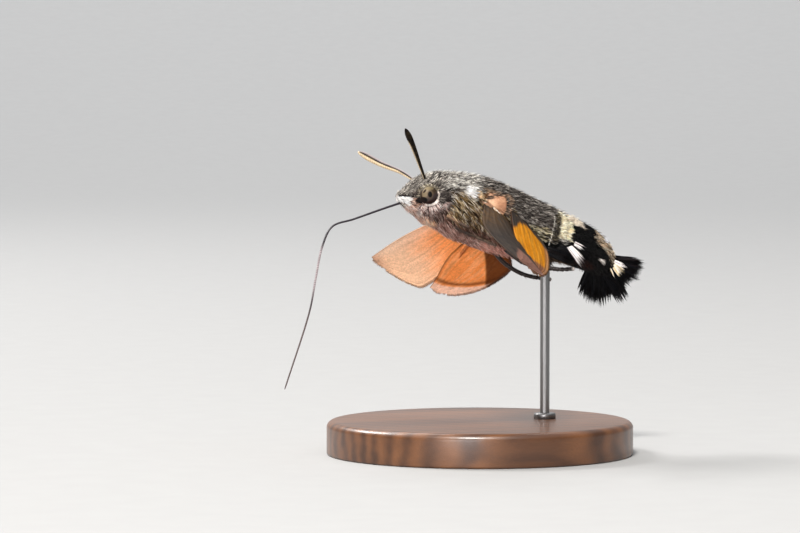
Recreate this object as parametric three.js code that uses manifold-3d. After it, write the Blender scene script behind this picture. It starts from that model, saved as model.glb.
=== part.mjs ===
import * as THREE from 'three';
import { mergeVertices } from 'three/addons/utils/BufferGeometryUtils.js';
import Module from 'manifold-3d';

const wasm = await Module();
wasm.setup();

// Hummingbird hawk moth on a display stand, life size, millimetres.
// The moth faces -X, up is +Z and its left side is -Y. The origin is the centre of the base underside.

// Stand
const BASE_RADIUS = 16;
const BASE_HEIGHT = 3.5;
const BASE_BEVEL = 0.7;
const BASE_SEGMENTS = 48;
const ROD_RADIUS = 0.5;
const ROD_X = 7.2;
const ROD_Y = -0.5;
const ROD_REACH = 20;
const ROD_SEGMENTS = 24;
const SOCKET_DEPTH = 2;

// Where the moth is held: height of the middle of the thorax, and its lean to one side
const THORAX_HEIGHT = 26;
const BANK_DEGREES = -8;

// Clearance between pieces that touch
const GAP = 0.13;

// Body stations: distance back, height, side shift, half height, half width, roll in degrees
const STATIONS = [
  [-9.30, 1.05, 0.00, 0.30, 0.40, 0],
  [-8.60, 1.00, 0.00, 1.15, 1.15, 0],
  [-7.80, 0.97, 0.00, 1.75, 1.80, 0],
  [-6.80, 0.95, 0.00, 2.35, 2.30, 0],
  [-5.60, 0.80, 0.00, 2.85, 2.60, 0],
  [-4.20, 0.58, 0.00, 3.12, 2.95, 0],
  [-2.20, -0.08, 0.00, 3.62, 3.50, 0],
  [0.00, -0.75, 0.00, 3.72, 3.80, 0],
  [2.40, -1.65, 0.00, 3.65, 3.80, 0],
  [4.80, -2.45, 0.00, 3.38, 3.65, 0],
  [7.25, -3.10, 0.10, 2.95, 3.50, 0],
  [9.55, -3.75, 0.35, 2.60, 3.30, 2],
  [11.70, -4.55, 0.75, 2.40, 2.90, 6],
  [13.50, -5.50, 1.25, 2.05, 2.30, 12],
  [14.70, -6.45, 1.70, 1.50, 1.60, 20],
  [15.35, -7.15, 2.00, 0.80, 0.90, 26],
];
const LAST = STATIONS.length - 1;
const HEAD_START = 0.75;
const NECK = 4.6;
const WAIST = 9.0;
const JOINT_GAP = 0.05;
const SECTION_POINTS = 24;
const HEAD_STEPS = 10;
const THORAX_STEPS = 12;
const ABDOMEN_STEPS = 13;
const WHOLE_BODY_STEPS = 34;
const BODY_LEAD_IN = 0.5;
const FULL_TURN = 2 * Math.PI;
const WELD = 1e-4;
const EYE_AROUND = 14;
const EYE_DOWN = 9;
const PALP_AROUND = 12;
const PALP_DOWN = 8;
const RIGHT = 1;
const LEFT = -1;

const vector = (x, y, z) => new THREE.Vector3(x, y, z);
const spine = new THREE.CatmullRomCurve3(STATIONS.map(([x, z, y]) => vector(x, y, z)));
const sizes = new THREE.CatmullRomCurve3(STATIONS.map(([, , , high, wide, roll]) => vector(high, wide, roll)));

// Point of the body outline; angle 0 is the right side of the moth, a quarter turn its back
function bodyPoint(station, angle, grow = 0) {
  const u = station / LAST;
  const tangent = spine.getTangent(u);
  const size = sizes.getPoint(u);
  const side = vector(0, 1, 0).addScaledVector(tangent, -tangent.y).normalize();
  side.applyAxisAngle(tangent, THREE.MathUtils.degToRad(size.z));
  const up = vector(0, 0, 0).crossVectors(tangent, side).normalize();
  return spine.getPoint(u)
    .addScaledVector(side, (size.y + grow) * Math.cos(angle))
    .addScaledVector(up, (size.x + grow) * Math.sin(angle));
}

// Closed skin over rings with the same number of points, capped at both ends
function skinRings(rings) {
  const count = rings[0].length;
  const positions = rings.flat().flatMap((p) => [p.x, p.y, p.z]);
  const index = [];
  for (let i = 0; i < rings.length - 1; i++) {
    for (let j = 0; j < count; j++) {
      const k = (j + 1) % count;
      const a = i * count + j;
      const b = i * count + k;
      index.push(a, b, b + count, a, b + count, a + count);
    }
  }
  for (const first of [0, (rings.length - 1) * count]) {
    const middle = rings[first / count].reduce((sum, p) => sum.add(p), vector(0, 0, 0)).divideScalar(count);
    const m = positions.length / 3;
    positions.push(middle.x, middle.y, middle.z);
    for (let j = 0; j < count; j++) {
      const edge = [first + j, first + (j + 1) % count];
      index.push(m, ...(first ? edge : edge.reverse()));
    }
  }
  const geometry = new THREE.BufferGeometry();
  geometry.setAttribute('position', new THREE.Float32BufferAttribute(positions, 3));
  geometry.setIndex(index);
  return geometry;
}

function toSolid(geometry) {
  geometry.deleteAttribute('normal');
  geometry.deleteAttribute('uv');
  const merged = mergeVertices(geometry, WELD);
  return new wasm.Manifold(new wasm.Mesh({
    numProp: 3,
    vertProperties: new Float32Array(merged.attributes.position.array),
    triVerts: new Uint32Array(merged.index.array),
  }));
}

// Loft over rings, turned right side out
function loft(rings) {
  const solid = toSolid(skinRings(rings));
  return solid.volume() > 0 ? solid : toSolid(skinRings(rings.map((ring) => [...ring].reverse())));
}

function ringOf(count, place) {
  return Array.from({ length: count }, (_, j) => place((j / count) * FULL_TURN));
}

function bodyLoft(from, to, steps, grow = 0) {
  const rings = [];
  for (let i = 0; i <= steps; i++) {
    const station = THREE.MathUtils.lerp(from, to, i / steps);
    rings.push(ringOf(SECTION_POINTS, (angle) => bodyPoint(station, angle, grow)));
  }
  return loft(rings);
}

function ellipsoid(centre, radii, around = EYE_AROUND, down = EYE_DOWN) {
  const geometry = new THREE.SphereGeometry(1, around, down);
  geometry.scale(radii.x, radii.y, radii.z);
  geometry.translate(centre.x, centre.y, centre.z);
  return toSolid(geometry);
}

// Bar along a curve, round or flattened; across is the direction of its width
function bar(points, { wide, thick = wide, across, steps = 12, sides = 8 }) {
  const curve = new THREE.CatmullRomCurve3(points);
  const rings = [];
  for (let i = 0; i <= steps; i++) {
    const t = i / steps;
    const at = curve.getPointAt(t);
    const along = curve.getTangentAt(t);
    const side = across.clone().addScaledVector(along, -across.dot(along)).normalize();
    const up = vector(0, 0, 0).crossVectors(along, side);
    rings.push(ringOf(sides, (angle) => at.clone()
      .addScaledVector(side, wide(t) * Math.cos(angle))
      .addScaledVector(up, thick(t) * Math.sin(angle))));
  }
  return loft(rings);
}

const onSide = (p, side) => vector(p.x, p.y * side, p.z);
const grown = (radii, by) => radii.clone().addScalar(by);
const bodySpace = bodyLoft(HEAD_START - BODY_LEAD_IN, LAST, WHOLE_BODY_STEPS, GAP);

// Head with hollows for the eyes and the palps
const EYE_AT = vector(-6.5, 1.9, 0.77);
const EYE_RADII = vector(1.08, 0.85, 1.08);
const PALP_AT = vector(-8.35, 0.6, 0.65);
const PALP_RADII = vector(1.15, 0.55, 0.72);
const eyeAndPalpHollows = [RIGHT, LEFT].flatMap((side) => [
  ellipsoid(onSide(EYE_AT, side), grown(EYE_RADII, GAP)),
  ellipsoid(onSide(PALP_AT, side), grown(PALP_RADII, GAP), PALP_AROUND, PALP_DOWN),
]);
const head = eyeAndPalpHollows.reduce((solid, hollow) => solid.subtract(hollow),
  bodyLoft(HEAD_START, NECK - JOINT_GAP, HEAD_STEPS));

// Feelers, thickening to a club that tapers off at its tip
const FEELER_ROOT_RADIUS = 0.25;
const FEELER_CLUB_RADIUS = 0.38;
const CLUB_END = 0.86;
const CLUB_TAPER = 0.6;
const CLUB_RISE = 1.16;
const FEELER_POINTS = {
  left: [vector(-6.5, -1.15, 2.6), vector(-7.6, -2.5, 4.1), vector(-9.1, -4.5, 5.9), vector(-10.6, -6.5, 7.3)],
  right: [vector(-6.7, 1.15, 2.6), vector(-7.45, 3.0, 3.95), vector(-8.65, 5.6, 5.0), vector(-10.05, 8.3, 6.65)],
};

function feelerRadius(t) {
  const club = THREE.MathUtils.lerp(FEELER_ROOT_RADIUS, FEELER_CLUB_RADIUS, Math.min(1, CLUB_RISE * t));
  return t > CLUB_END ? club * (1 - CLUB_TAPER * (t - CLUB_END) / (1 - CLUB_END)) : club;
}

function feeler(points) {
  return bar(points, { wide: feelerRadius, across: vector(0, 1, 0), steps: 12 }).subtract(bodySpace);
}

// Proboscis in three lengths, held out and bent down to where it drinks
const PROBOSCIS_RADIUS = 0.26;
const PROBOSCIS_POINTS = [
  vector(-8.2, 0, 0.55), vector(-10.9, 0, -0.24), vector(-14.2, 0, -1.27), vector(-16.6, 0, -2.0),
  vector(-17.75, 0, -3.9), vector(-18.7, 0, -7.3), vector(-19.5, 0, -10.5), vector(-22.7, 0, -18.6),
];
const PROBOSCIS_CUTS = [0, 0.26, 0.55, 1];
const PROBOSCIS_JOINT = 0.003;
const PROBOSCIS_STEPS = 8;
const palpSpace = ellipsoid(onSide(PALP_AT, RIGHT), grown(PALP_RADII, GAP), PALP_AROUND, PALP_DOWN)
  .add(ellipsoid(onSide(PALP_AT, LEFT), grown(PALP_RADII, GAP), PALP_AROUND, PALP_DOWN));
const proboscisCurve = new THREE.CatmullRomCurve3(PROBOSCIS_POINTS);

function proboscisLength(number) {
  const from = PROBOSCIS_CUTS[number] + PROBOSCIS_JOINT;
  const to = PROBOSCIS_CUTS[number + 1] - PROBOSCIS_JOINT;
  const points = [];
  for (let i = 0; i <= PROBOSCIS_STEPS; i++) {
    points.push(proboscisCurve.getPointAt(THREE.MathUtils.lerp(from, to, i / PROBOSCIS_STEPS)));
  }
  return bar(points, { wide: () => PROBOSCIS_RADIUS, across: vector(0, 1, 0), steps: PROBOSCIS_STEPS })
    .subtract(bodySpace)
    .subtract(palpSpace);
}

// Wings: outlines as shares of the wing's length, on a surface with camber and a bow along the span
const WING_HALF_THICKNESS = 0.25;
const SPAN_STEPS = 12;
const CHORD_STEPS = 6;
const SPAN_END = 0.985;
const TORNUS = 0.72;
const ANAL_CORNER = 0.28;
const HINDWING_ROUND_START = 0.45;
const HINDWING_ROUND = 0.07;
const LEAD_BULGE = 0.03;
const NEAR_LEAD_BULGE = 0.1;
const NEAR_LEAD_SHIFT = 1.3;
const TRAIL_START = 0.01;
const TIP_CURVE = 1.5;
const HINDWING_END = 1.02;
const forewing = (root, widest, bulge = LEAD_BULGE, shift = 1) => ({
  length: 18.5,
  lead: (t) => bulge * Math.sin(Math.PI * t ** shift),
  trail: (t) => TRAIL_START + (t < TORNUS
    ? THREE.MathUtils.lerp(root, widest, Math.sin(0.5 * Math.PI * t / TORNUS))
    : widest * (1 - ((t - TORNUS) / (1 - TORNUS)) ** TIP_CURVE)),
});
const hindwing = (root, widest) => ({
  length: 11.2,
  lead: (t) => LEAD_BULGE * Math.sin(Math.PI * t) -
    HINDWING_ROUND * THREE.MathUtils.smoothstep(t, HINDWING_ROUND_START, 1),
  trail: (t) => TRAIL_START + (t < ANAL_CORNER
    ? THREE.MathUtils.lerp(root, widest, Math.sin(0.5 * Math.PI * t / ANAL_CORNER))
    : widest * Math.sqrt(1 - ((t - ANAL_CORNER) / (HINDWING_END - ANAL_CORNER)) ** 2)),
});

const WINGS = {
  forewing_left: {
    ...forewing(0.22, 0.25, NEAR_LEAD_BULGE, NEAR_LEAD_SHIFT), side: LEFT, camber: 0.07, bow: -0.5, tilt: 0,
    hinge: vector(-1.1, -3.5, -0.28), span: vector(-0.198, -0.898, -0.394), chord: vector(0.812, 0.074, -0.579),
  },
  forewing_right: {
    ...forewing(0.14, 0.275), side: RIGHT, camber: 0.05, bow: -0.4, tilt: 0,
    hinge: vector(-0.74, 3.5, -0.28), span: vector(-0.181, 0.968, -0.172), chord: vector(0.568, -0.04, -0.822),
  },
  hindwing_left: {
    ...hindwing(0.17, 0.41), side: LEFT, camber: 0.04, bow: 0, tilt: 0.08,
    hinge: vector(2.0, -3.3, -0.75), span: vector(-0.281, -0.72, -0.635), chord: vector(0.803, 0.187, -0.566),
  },
  hindwing_right: {
    ...hindwing(0.2, 0.48), side: RIGHT, camber: 0.04, bow: 0, tilt: -0.06,
    hinge: vector(1.5, 3.3, -2.15), span: vector(-0.246, 0.881, -0.405), chord: vector(0.839, -0.016, -0.544),
  },
};
const ROOT_REACH = 0.1;

function wing({ hinge, span, chord, side, length, lead, trail, camber, bow, tilt }, thicker = 0) {
  const outward = span.clone().normalize();
  const rearward = chord.clone().addScaledVector(outward, -chord.dot(outward)).normalize();
  const dorsal = vector(0, 0, 0).crossVectors(outward, rearward).multiplyScalar(-side);
  const place = (t, share, offset) => {
    const front = -lead(Math.max(0, t)) * length;
    const back = trail(Math.max(0, t)) * length;
    const across = THREE.MathUtils.lerp(front, back, share);
    const height = camber * (back - front) * 4 * share * (1 - share) + bow * Math.sin(Math.PI * Math.max(0, t));
    return hinge.clone()
      .addScaledVector(outward, t * length)
      .addScaledVector(rearward, across)
      .addScaledVector(dorsal, height + offset + tilt * t * length);
  };
  const rings = [];
  for (let i = 0; i <= SPAN_STEPS; i++) {
    const t = THREE.MathUtils.lerp(-ROOT_REACH, SPAN_END, i / SPAN_STEPS);
    const ring = [];
    for (let j = 0; j <= CHORD_STEPS; j++) {
      ring.push(place(t, j / CHORD_STEPS, WING_HALF_THICKNESS + thicker));
    }
    for (let j = CHORD_STEPS; j >= 0; j--) {
      ring.push(place(t, j / CHORD_STEPS, -WING_HALF_THICKNESS - thicker));
    }
    rings.push(ring);
  }
  return loft(rings).subtract(bodySpace);
}

// Legs: front and middle pairs folded along the breast, hind pair trailed back under the abdomen
const LEG_RADIUS = 0.26;
const LEG_LIFT = 0.16;
const FOLDED_STEPS = 6;
const FOLDED = {
  foreleg: { from: 4.9, to: 6.2, start: 1.211, end: 1.236 },
  midleg: { from: 5.7, to: 7.8, start: 1.289, end: 1.333 },
};
const HIND_POINTS = {
  left: [
    vector(2.0, -1.5, -4.9), vector(3.8, -1.9, -6.3), vector(6.16, -2.0, -6.85),
    vector(7.7, -2.2, -7.09), vector(9.3, -2.4, -7.07),
  ],
  right: [
    vector(1.9, 1.3, -4.9), vector(3.01, 1.4, -6.0), vector(4.35, 1.5, -6.85),
    vector(5.62, 1.6, -7.35), vector(8.45, 1.8, -7.83),
  ],
};

function foldedLeg({ from, to, start, end }, side) {
  const points = [];
  for (let i = 0; i <= FOLDED_STEPS; i++) {
    const t = i / FOLDED_STEPS;
    const angle = Math.PI * THREE.MathUtils.lerp(start, end, t);
    const turned = side === LEFT ? angle : Math.PI - angle;
    points.push(bodyPoint(THREE.MathUtils.lerp(from, to, t), turned, LEG_RADIUS + LEG_LIFT));
  }
  return bar(points, { wide: () => LEG_RADIUS, across: vector(0, 0, 1), steps: 10 }).subtract(bodySpace);
}

function hindLeg(points) {
  return bar(points, { wide: () => LEG_RADIUS, across: vector(0, 1, 0), steps: 14 }).subtract(bodySpace);
}

// Side tufts of the abdomen and the lobes of the tail fan, leaf shaped: widest past the middle, round at the tip
const LEAF_SWELL = 0.62;
const LEAF_TIP_SHARE = 0.02;
const leafWidth = (most, root) => (t) => (root + (most - root) * Math.sin(Math.PI * LEAF_SWELL * t)) *
  Math.sqrt(LEAF_TIP_SHARE + (1 - LEAF_TIP_SHARE) * (1 - t ** 4));
const TUFTS = [
  { from: vector(5.6, -2.6, -4.6), to: vector(8.4, -3.6, -6.5), wide: 0.75, thick: 0.4 },
  { from: vector(8.0, -2.8, -4.6), to: vector(9.9, -3.9, -6.9), wide: 0.8, thick: 0.42 },
  { from: vector(9.0, -2.6, -4.3), to: vector(11.1, -3.5, -5.9), wide: 0.55, thick: 0.4 },
];
const TUFT_MIRROR_Y = 0.3;
const FAN_ROOT = vector(14.4, 1.6, -6.2);
const FAN_LOBES = [
  { tip: vector(18.5, 0.0, -6.5), wide: 1.45, thick: 0.6 },
  { tip: vector(17.5, 3.0, -9.9), wide: 1.65, thick: 0.6 },
  { tip: vector(13.3, 3.9, -10.2), wide: 1.6, thick: 0.55 },
];
const FAN_ACROSS = vector(0.55, -0.6, 0.55);

function leaf(from, to, wide, thick, across) {
  return bar([from, from.clone().lerp(to, 0.5), to], {
    wide: leafWidth(wide, 0.5 * wide), thick: leafWidth(thick, thick), across, steps: 7, sides: 10,
  });
}

function tufts(side) {
  const flip = (p) => (side === LEFT ? p.clone() : vector(p.x, 2 * TUFT_MIRROR_Y - p.y, p.z));
  return TUFTS.map(({ from, to, wide, thick }) => leaf(flip(from), flip(to), wide, thick, vector(1, 0, 0.7)));
}

const abdomen = [...tufts(LEFT), ...tufts(RIGHT)]
  .reduce((solid, tuft) => solid.add(tuft), bodyLoft(WAIST + JOINT_GAP, LAST, ABDOMEN_STEPS));
const tailSpace = bodyLoft(WAIST, LAST, ABDOMEN_STEPS, GAP);
const tailFan = FAN_LOBES.map(({ tip, wide, thick }) => leaf(FAN_ROOT, tip, wide, thick, FAN_ACROSS))
  .reduce((solid, lobe) => solid.add(lobe))
  .subtract(tailSpace);

// Colours
const FUR_GREY = [0x8d8278, 0.95, 0];
const FUR_DARK = [0x4a423c, 0.95, 0];
const BLACK_HAIR = [0x141113, 0.85, 0];
const EYE_BROWN = [0x6f5a45, 0.25, 0];
const PALE_PALP = [0xd9ccc0, 0.95, 0];
const FEELER_BROWN = [0x2c231e, 0.7, 0];
const PROBOSCIS_DARK = [0x2a1c26, 0.45, 0];
const WING_GREY = [0x5b524c, 0.85, 0];
const WING_ORANGE = [0xd98a2b, 0.85, 0];
const LEG_DARK = [0x2a211f, 0.7, 0];
const WALNUT = [0x4b2f1d, 0.45, 0];
const STEEL = [0xb4b6b8, 0.3, 1];

function toMesh(name, geometry, [color, roughness, metalness]) {
  const mesh = new THREE.Mesh(geometry, new THREE.MeshStandardMaterial({ color, roughness, metalness }));
  mesh.name = name;
  return mesh;
}

function toGeometry(solid) {
  const { vertProperties, triVerts } = solid.getMesh();
  const geometry = new THREE.BufferGeometry();
  geometry.setAttribute('position', new THREE.Float32BufferAttribute(vertProperties, 3));
  geometry.setIndex(new THREE.Uint32BufferAttribute(triVerts, 1));
  return geometry;
}

const group = new THREE.Group();
group.name = 'hawk_moth';
const moth = new THREE.Group();
moth.position.z = THORAX_HEIGHT;
moth.rotation.x = THREE.MathUtils.degToRad(BANK_DEGREES);
group.add(moth);
const addToMoth = (name, solid, look) => moth.add(toMesh(name, toGeometry(solid), look));

addToMoth('head', head, FUR_GREY);
addToMoth('thorax', bodyLoft(NECK + JOINT_GAP, WAIST - JOINT_GAP, THORAX_STEPS), FUR_GREY);
addToMoth('abdomen', abdomen, FUR_DARK);
addToMoth('tail_fan', tailFan, BLACK_HAIR);
for (const [name, side] of [['right', RIGHT], ['left', LEFT]]) {
  addToMoth(`eye_${name}`, ellipsoid(onSide(EYE_AT, side), EYE_RADII), EYE_BROWN);
  addToMoth(`palp_${name}`, ellipsoid(onSide(PALP_AT, side), PALP_RADII, PALP_AROUND, PALP_DOWN), PALE_PALP);
  addToMoth(`antenna_${name}`, feeler(FEELER_POINTS[name]), FEELER_BROWN);
  addToMoth(`foreleg_${name}`, foldedLeg(FOLDED.foreleg, side), LEG_DARK);
  addToMoth(`midleg_${name}`, foldedLeg(FOLDED.midleg, side), LEG_DARK);
  addToMoth(`hindleg_${name}`, hindLeg(HIND_POINTS[name]), LEG_DARK);
}
['proboscis_base', 'proboscis_middle', 'proboscis_tip'].forEach((name, number) => {
  addToMoth(name, proboscisLength(number), PROBOSCIS_DARK);
});
for (const name of ['left', 'right']) {
  const front = WINGS[`forewing_${name}`];
  addToMoth(`forewing_${name}`, wing(front), WING_GREY);
  addToMoth(`hindwing_${name}`, wing(WINGS[`hindwing_${name}`]).subtract(wing(front, GAP)), WING_ORANGE);
}

// Stand: turned base with a hole, and the rod that reaches from it to the belly
const baseProfile = [
  [0, 0], [BASE_RADIUS, 0], [BASE_RADIUS, BASE_HEIGHT - BASE_BEVEL],
  [BASE_RADIUS - BASE_BEVEL, BASE_HEIGHT], [ROD_RADIUS, BASE_HEIGHT], [0, BASE_HEIGHT],
].map(([x, y]) => new THREE.Vector2(x, y));
const baseGeometry = new THREE.LatheGeometry(baseProfile, BASE_SEGMENTS);
baseGeometry.rotateX(Math.PI / 2);

function rodAt(radius, from, to) {
  const geometry = new THREE.CylinderGeometry(radius, radius, to - from, ROD_SEGMENTS);
  geometry.rotateX(Math.PI / 2);
  geometry.translate(ROD_X, ROD_Y, (from + to) / 2);
  return toSolid(geometry);
}

const socketFloor = BASE_HEIGHT - SOCKET_DEPTH;
const rodTop = BASE_HEIGHT + ROD_REACH;
const base = toSolid(baseGeometry).subtract(rodAt(ROD_RADIUS + GAP, socketFloor, rodTop));
const bellySpace = bodySpace.rotate([BANK_DEGREES, 0, 0]).translate([0, 0, THORAX_HEIGHT]);
const rod = rodAt(ROD_RADIUS, socketFloor + GAP, rodTop).subtract(bellySpace);
group.add(toMesh('stand_base', toGeometry(base), WALNUT));
group.add(toMesh('stand_rod', toGeometry(rod), STEEL));

export default group;
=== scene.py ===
# Looks of the hummingbird hawk moth on its display stand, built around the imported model.
# Sizes are millimetres in the moth's own frame, where it faces -X, up is +Z and its left side is -Y.
import itertools
import math
from collections import namedtuple

import bpy
import numpy as np
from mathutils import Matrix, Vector


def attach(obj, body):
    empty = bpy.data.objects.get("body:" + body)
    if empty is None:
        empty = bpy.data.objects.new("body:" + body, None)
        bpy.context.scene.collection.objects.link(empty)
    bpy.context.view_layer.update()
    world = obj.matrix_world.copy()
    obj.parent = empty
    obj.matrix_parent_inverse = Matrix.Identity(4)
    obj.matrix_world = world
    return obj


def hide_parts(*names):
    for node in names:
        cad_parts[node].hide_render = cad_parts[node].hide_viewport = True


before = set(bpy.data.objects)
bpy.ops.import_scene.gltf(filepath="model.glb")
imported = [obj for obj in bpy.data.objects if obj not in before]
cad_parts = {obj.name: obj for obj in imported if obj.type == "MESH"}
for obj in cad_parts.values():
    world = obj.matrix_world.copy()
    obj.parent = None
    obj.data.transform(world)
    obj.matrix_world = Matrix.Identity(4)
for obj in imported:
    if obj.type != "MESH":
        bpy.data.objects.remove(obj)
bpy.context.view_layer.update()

MM = 0.001
BANK = math.radians(-8)
THORAX_HEIGHT = 26.0
LEFT, RIGHT = -1, 1
SIDES = {"left": LEFT, "right": RIGHT}
ACROSS = np.array([0, 1.0, 0])
rng = np.random.default_rng(31)


# Small helpers

CURVE_SAMPLES = 401
HASH_STEPS, HASH_FACTOR = np.array([73856093, 19349663, 83492791]), 1274126177


def unit(v):
    return v / np.maximum(np.linalg.norm(v, axis=-1, keepdims=True), 1e-12)


def mix(a, b, share):
    return a + (b - a) * share


def rise(x, low, high):
    """0 below low, 1 above high, smooth between."""
    t = np.clip((np.asarray(x, float) - low) / (high - low), 0, 1)
    return t * t * (3 - 2 * t)


def tone(text):
    """Linear colour of an sRGB hex text."""
    c = np.array([int(text[k:k + 2], 16) for k in (0, 2, 4)]) / 255
    return np.where(c <= 0.04045, c / 12.92, ((c + 0.055) / 1.055) ** 2.4)


def painted(base, *coats):
    """Colours of points: a base tone with others over it, each a tone and its share at every point."""
    base = tone(base) if isinstance(base, str) else base
    for text, share in coats:
        base = mix(base, tone(text), share[:, None])
    return base


def weighed(text):
    """Colours and weights of a text such as "d2cabf*4 9c948b*3"."""
    pairs = [pair.split("*") for pair in text.split()]
    return np.array([tone(c) for c, _ in pairs]), np.array([float(n) for _, n in pairs])


def draw_tones(text, count):
    colours, weights = weighed(text)
    return colours[rng.choice(len(colours), count, p=weights / weights.sum())]


def grid(*axes):
    """Every pairing of two rows of values, the second running fastest."""
    return [v.ravel() for v in np.meshgrid(*axes, indexing="ij")]


def rounded(t, start, least, power=0.5):
    """1 up to start, then falling to the end as a round tip does."""
    return np.clip(1 - ((t - start) / (1 - start)).clip(0, 1) ** 2, least, 1) ** power


def noise(points, size, seed=0):
    """Smooth noise from 0 to 1 over points, with features of that size."""
    p = np.asarray(points, float) / size + seed * 17.3
    cell = np.floor(p).astype(np.int64)
    f = p - cell
    f = f * f * (3 - 2 * f)
    total = np.zeros(p.shape[:-1])
    for corner in itertools.product((0, 1), repeat=p.shape[-1]):
        k = (cell + corner) @ HASH_STEPS[:p.shape[-1]]
        k = (k ^ (k >> 13)) * HASH_FACTOR & 0x7FFFFFFF
        weight = np.where(corner, f, 1 - f).prod(-1)
        total += weight * ((k ^ (k >> 16)) & 0xFFFF) / 0xFFFF
    return total


def to_row(points):
    """Points of the moth's frame in the row frame, in metres."""
    x, y, z = np.moveaxis(np.asarray(points, float), -1, 0)
    c, s = math.cos(BANK), math.sin(BANK)
    return np.stack([x, y * c - z * s, y * s + z * c + THORAX_HEIGHT], -1) * MM


class Curve:
    """Centripetal curve through points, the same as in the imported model."""

    def __init__(self, points):
        p = np.asarray(points, float)
        self.last = len(p) - 1
        self.p = np.vstack([2 * p[0] - p[1], p, 2 * p[-1] - p[-2]])
        self.u = np.linspace(0, 1, CURVE_SAMPLES)
        steps = np.linalg.norm(np.diff(self.at(self.u), axis=0), axis=1)
        self.travel = np.concatenate([[0], np.cumsum(steps)])
        self.length = self.travel[-1]

    def at(self, u):
        q = self.last * np.clip(np.asarray(u, float), 0, 1)
        i = np.minimum(np.floor(q).astype(int), self.last - 1)
        w = (q - i)[..., None]
        x0, x1, x2, x3 = (self.p[i + k] for k in range(4))
        pairs = ((x0, x1), (x1, x2), (x2, x3))
        d0, d1, d2 = (((a - b) ** 2).sum(-1, keepdims=True) ** 0.25 for a, b in pairs)
        t1 = ((x1 - x0) / d0 - (x2 - x0) / (d0 + d1) + (x2 - x1) / d1) * d1
        t2 = ((x2 - x1) / d1 - (x3 - x1) / (d1 + d2) + (x3 - x2) / d2) * d1
        return x1 + t1 * w + (3 * (x2 - x1) - 2 * t1 - t2) * w ** 2 + (2 * (x1 - x2) + t1 + t2) * w ** 3

    def even(self, share):
        """Point at a share of the length."""
        return self.at(np.interp(share, self.travel / self.length, self.u))

    def along(self, share):
        e = 1e-3
        return unit(self.even(np.minimum(share + e, 1)) - self.even(np.maximum(share - e, 0)))


# Body outline: distance back, height, side shift, half height, half width, roll in degrees at each station
STATIONS = np.array([
    [-9.30, 1.05, 0.00, 0.30, 0.40, 0], [-8.60, 1.00, 0.00, 1.15, 1.15, 0],
    [-7.80, 0.97, 0.00, 1.75, 1.80, 0], [-6.80, 0.95, 0.00, 2.35, 2.30, 0],
    [-5.60, 0.80, 0.00, 2.85, 2.60, 0], [-4.20, 0.58, 0.00, 3.12, 2.95, 0],
    [-2.20, -0.08, 0.00, 3.62, 3.50, 0], [0.00, -0.75, 0.00, 3.72, 3.80, 0],
    [2.40, -1.65, 0.00, 3.65, 3.80, 0], [4.80, -2.45, 0.00, 3.38, 3.65, 0],
    [7.25, -3.10, 0.10, 2.95, 3.50, 0], [9.55, -3.75, 0.35, 2.60, 3.30, 2],
    [11.70, -4.55, 0.75, 2.40, 2.90, 6], [13.50, -5.50, 1.25, 2.05, 2.30, 12],
    [14.70, -6.45, 1.70, 1.50, 1.60, 20], [15.35, -7.15, 2.00, 0.80, 0.90, 26],
])
LAST = len(STATIONS) - 1
SPINE = Curve(STATIONS[:, [0, 2, 1]])
SIZES = Curve(STATIONS[:, 3:6])


def body(station, around, out=0.0):
    """Point of the body outline and the way out of it. around is 0 on the back and grows to the left."""
    u = np.asarray(station, float) / LAST
    e = 1e-4
    along = unit(SPINE.at(np.minimum(u + e, 1)) - SPINE.at(np.maximum(u - e, 0)))
    size = SIZES.at(u)
    high, wide, roll = size[..., :1], size[..., 1:2], np.radians(size[..., 2:])
    flat = unit(ACROSS - along * along[..., 1:2])
    side = flat * np.cos(roll) + np.cross(along, flat) * np.sin(roll)
    up = unit(np.cross(along, side))
    sin, cos = np.sin(around)[..., None], np.cos(around)[..., None]
    out = np.asarray(out, float)
    out = out[..., None] if out.ndim else out
    point = SPINE.at(u) - side * (wide + out) * sin + up * (high + out) * cos
    return point, unit(up * cos / high - side * sin / wide)


def per_step(station, around):
    """Millimetres that the outline runs per station and per radian."""
    e = 1e-3
    here = body(station, around)[0]
    back = np.linalg.norm(body(station + e, around)[0] - here, axis=-1) / e
    down = np.linalg.norm(body(station, around + e)[0] - here, axis=-1) / e
    return back, down


# Mesh makers

def add_piece(name, points, faces, finish, tint, place=None, uv=None, stands_for=(), in_row=False):
    """A shown piece: a smooth mesh with its colours, riding on the body, with its finish in a material slot.
    """
    mesh = bpy.data.meshes.new(name)
    points = np.asarray(points, float) * MM if in_row else to_row(points)
    mesh.vertices.add(len(points))
    mesh.vertices.foreach_set("co", points.astype(np.float32).ravel())
    corners = np.concatenate([f.ravel() for f in faces]).astype(np.int32)
    sizes = np.concatenate([np.full(len(f), f.shape[1]) for f in faces])
    mesh.loops.add(len(corners))
    mesh.loops.foreach_set("vertex_index", corners)
    mesh.polygons.add(len(sizes))
    mesh.polygons.foreach_set("loop_start", (np.cumsum(sizes) - sizes).astype(np.int32))
    mesh.polygons.foreach_set("use_smooth", np.ones(len(sizes), bool))
    mesh.update(calc_edges=True)
    colours = np.ones((len(points), 4), np.float32)
    colours[:, :3] = tint
    mesh.color_attributes.new("Tint", "FLOAT_COLOR", "POINT").data.foreach_set("color", colours.ravel())
    if place is not None:
        mesh.attributes.new("Place", "FLOAT_VECTOR", "POINT").data.foreach_set(
            "vector", np.asarray(place, np.float32).ravel())
    if uv is not None:
        mesh.uv_layers.new(name="OFBake").data.foreach_set("uv", uv[corners].astype(np.float32).ravel())
    mesh.materials.append(finish)
    obj = bpy.data.objects.new(name, mesh)
    bpy.context.scene.collection.objects.link(obj)
    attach(obj, "root")
    if stands_for:
        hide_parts(*stands_for)
    return obj


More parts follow.
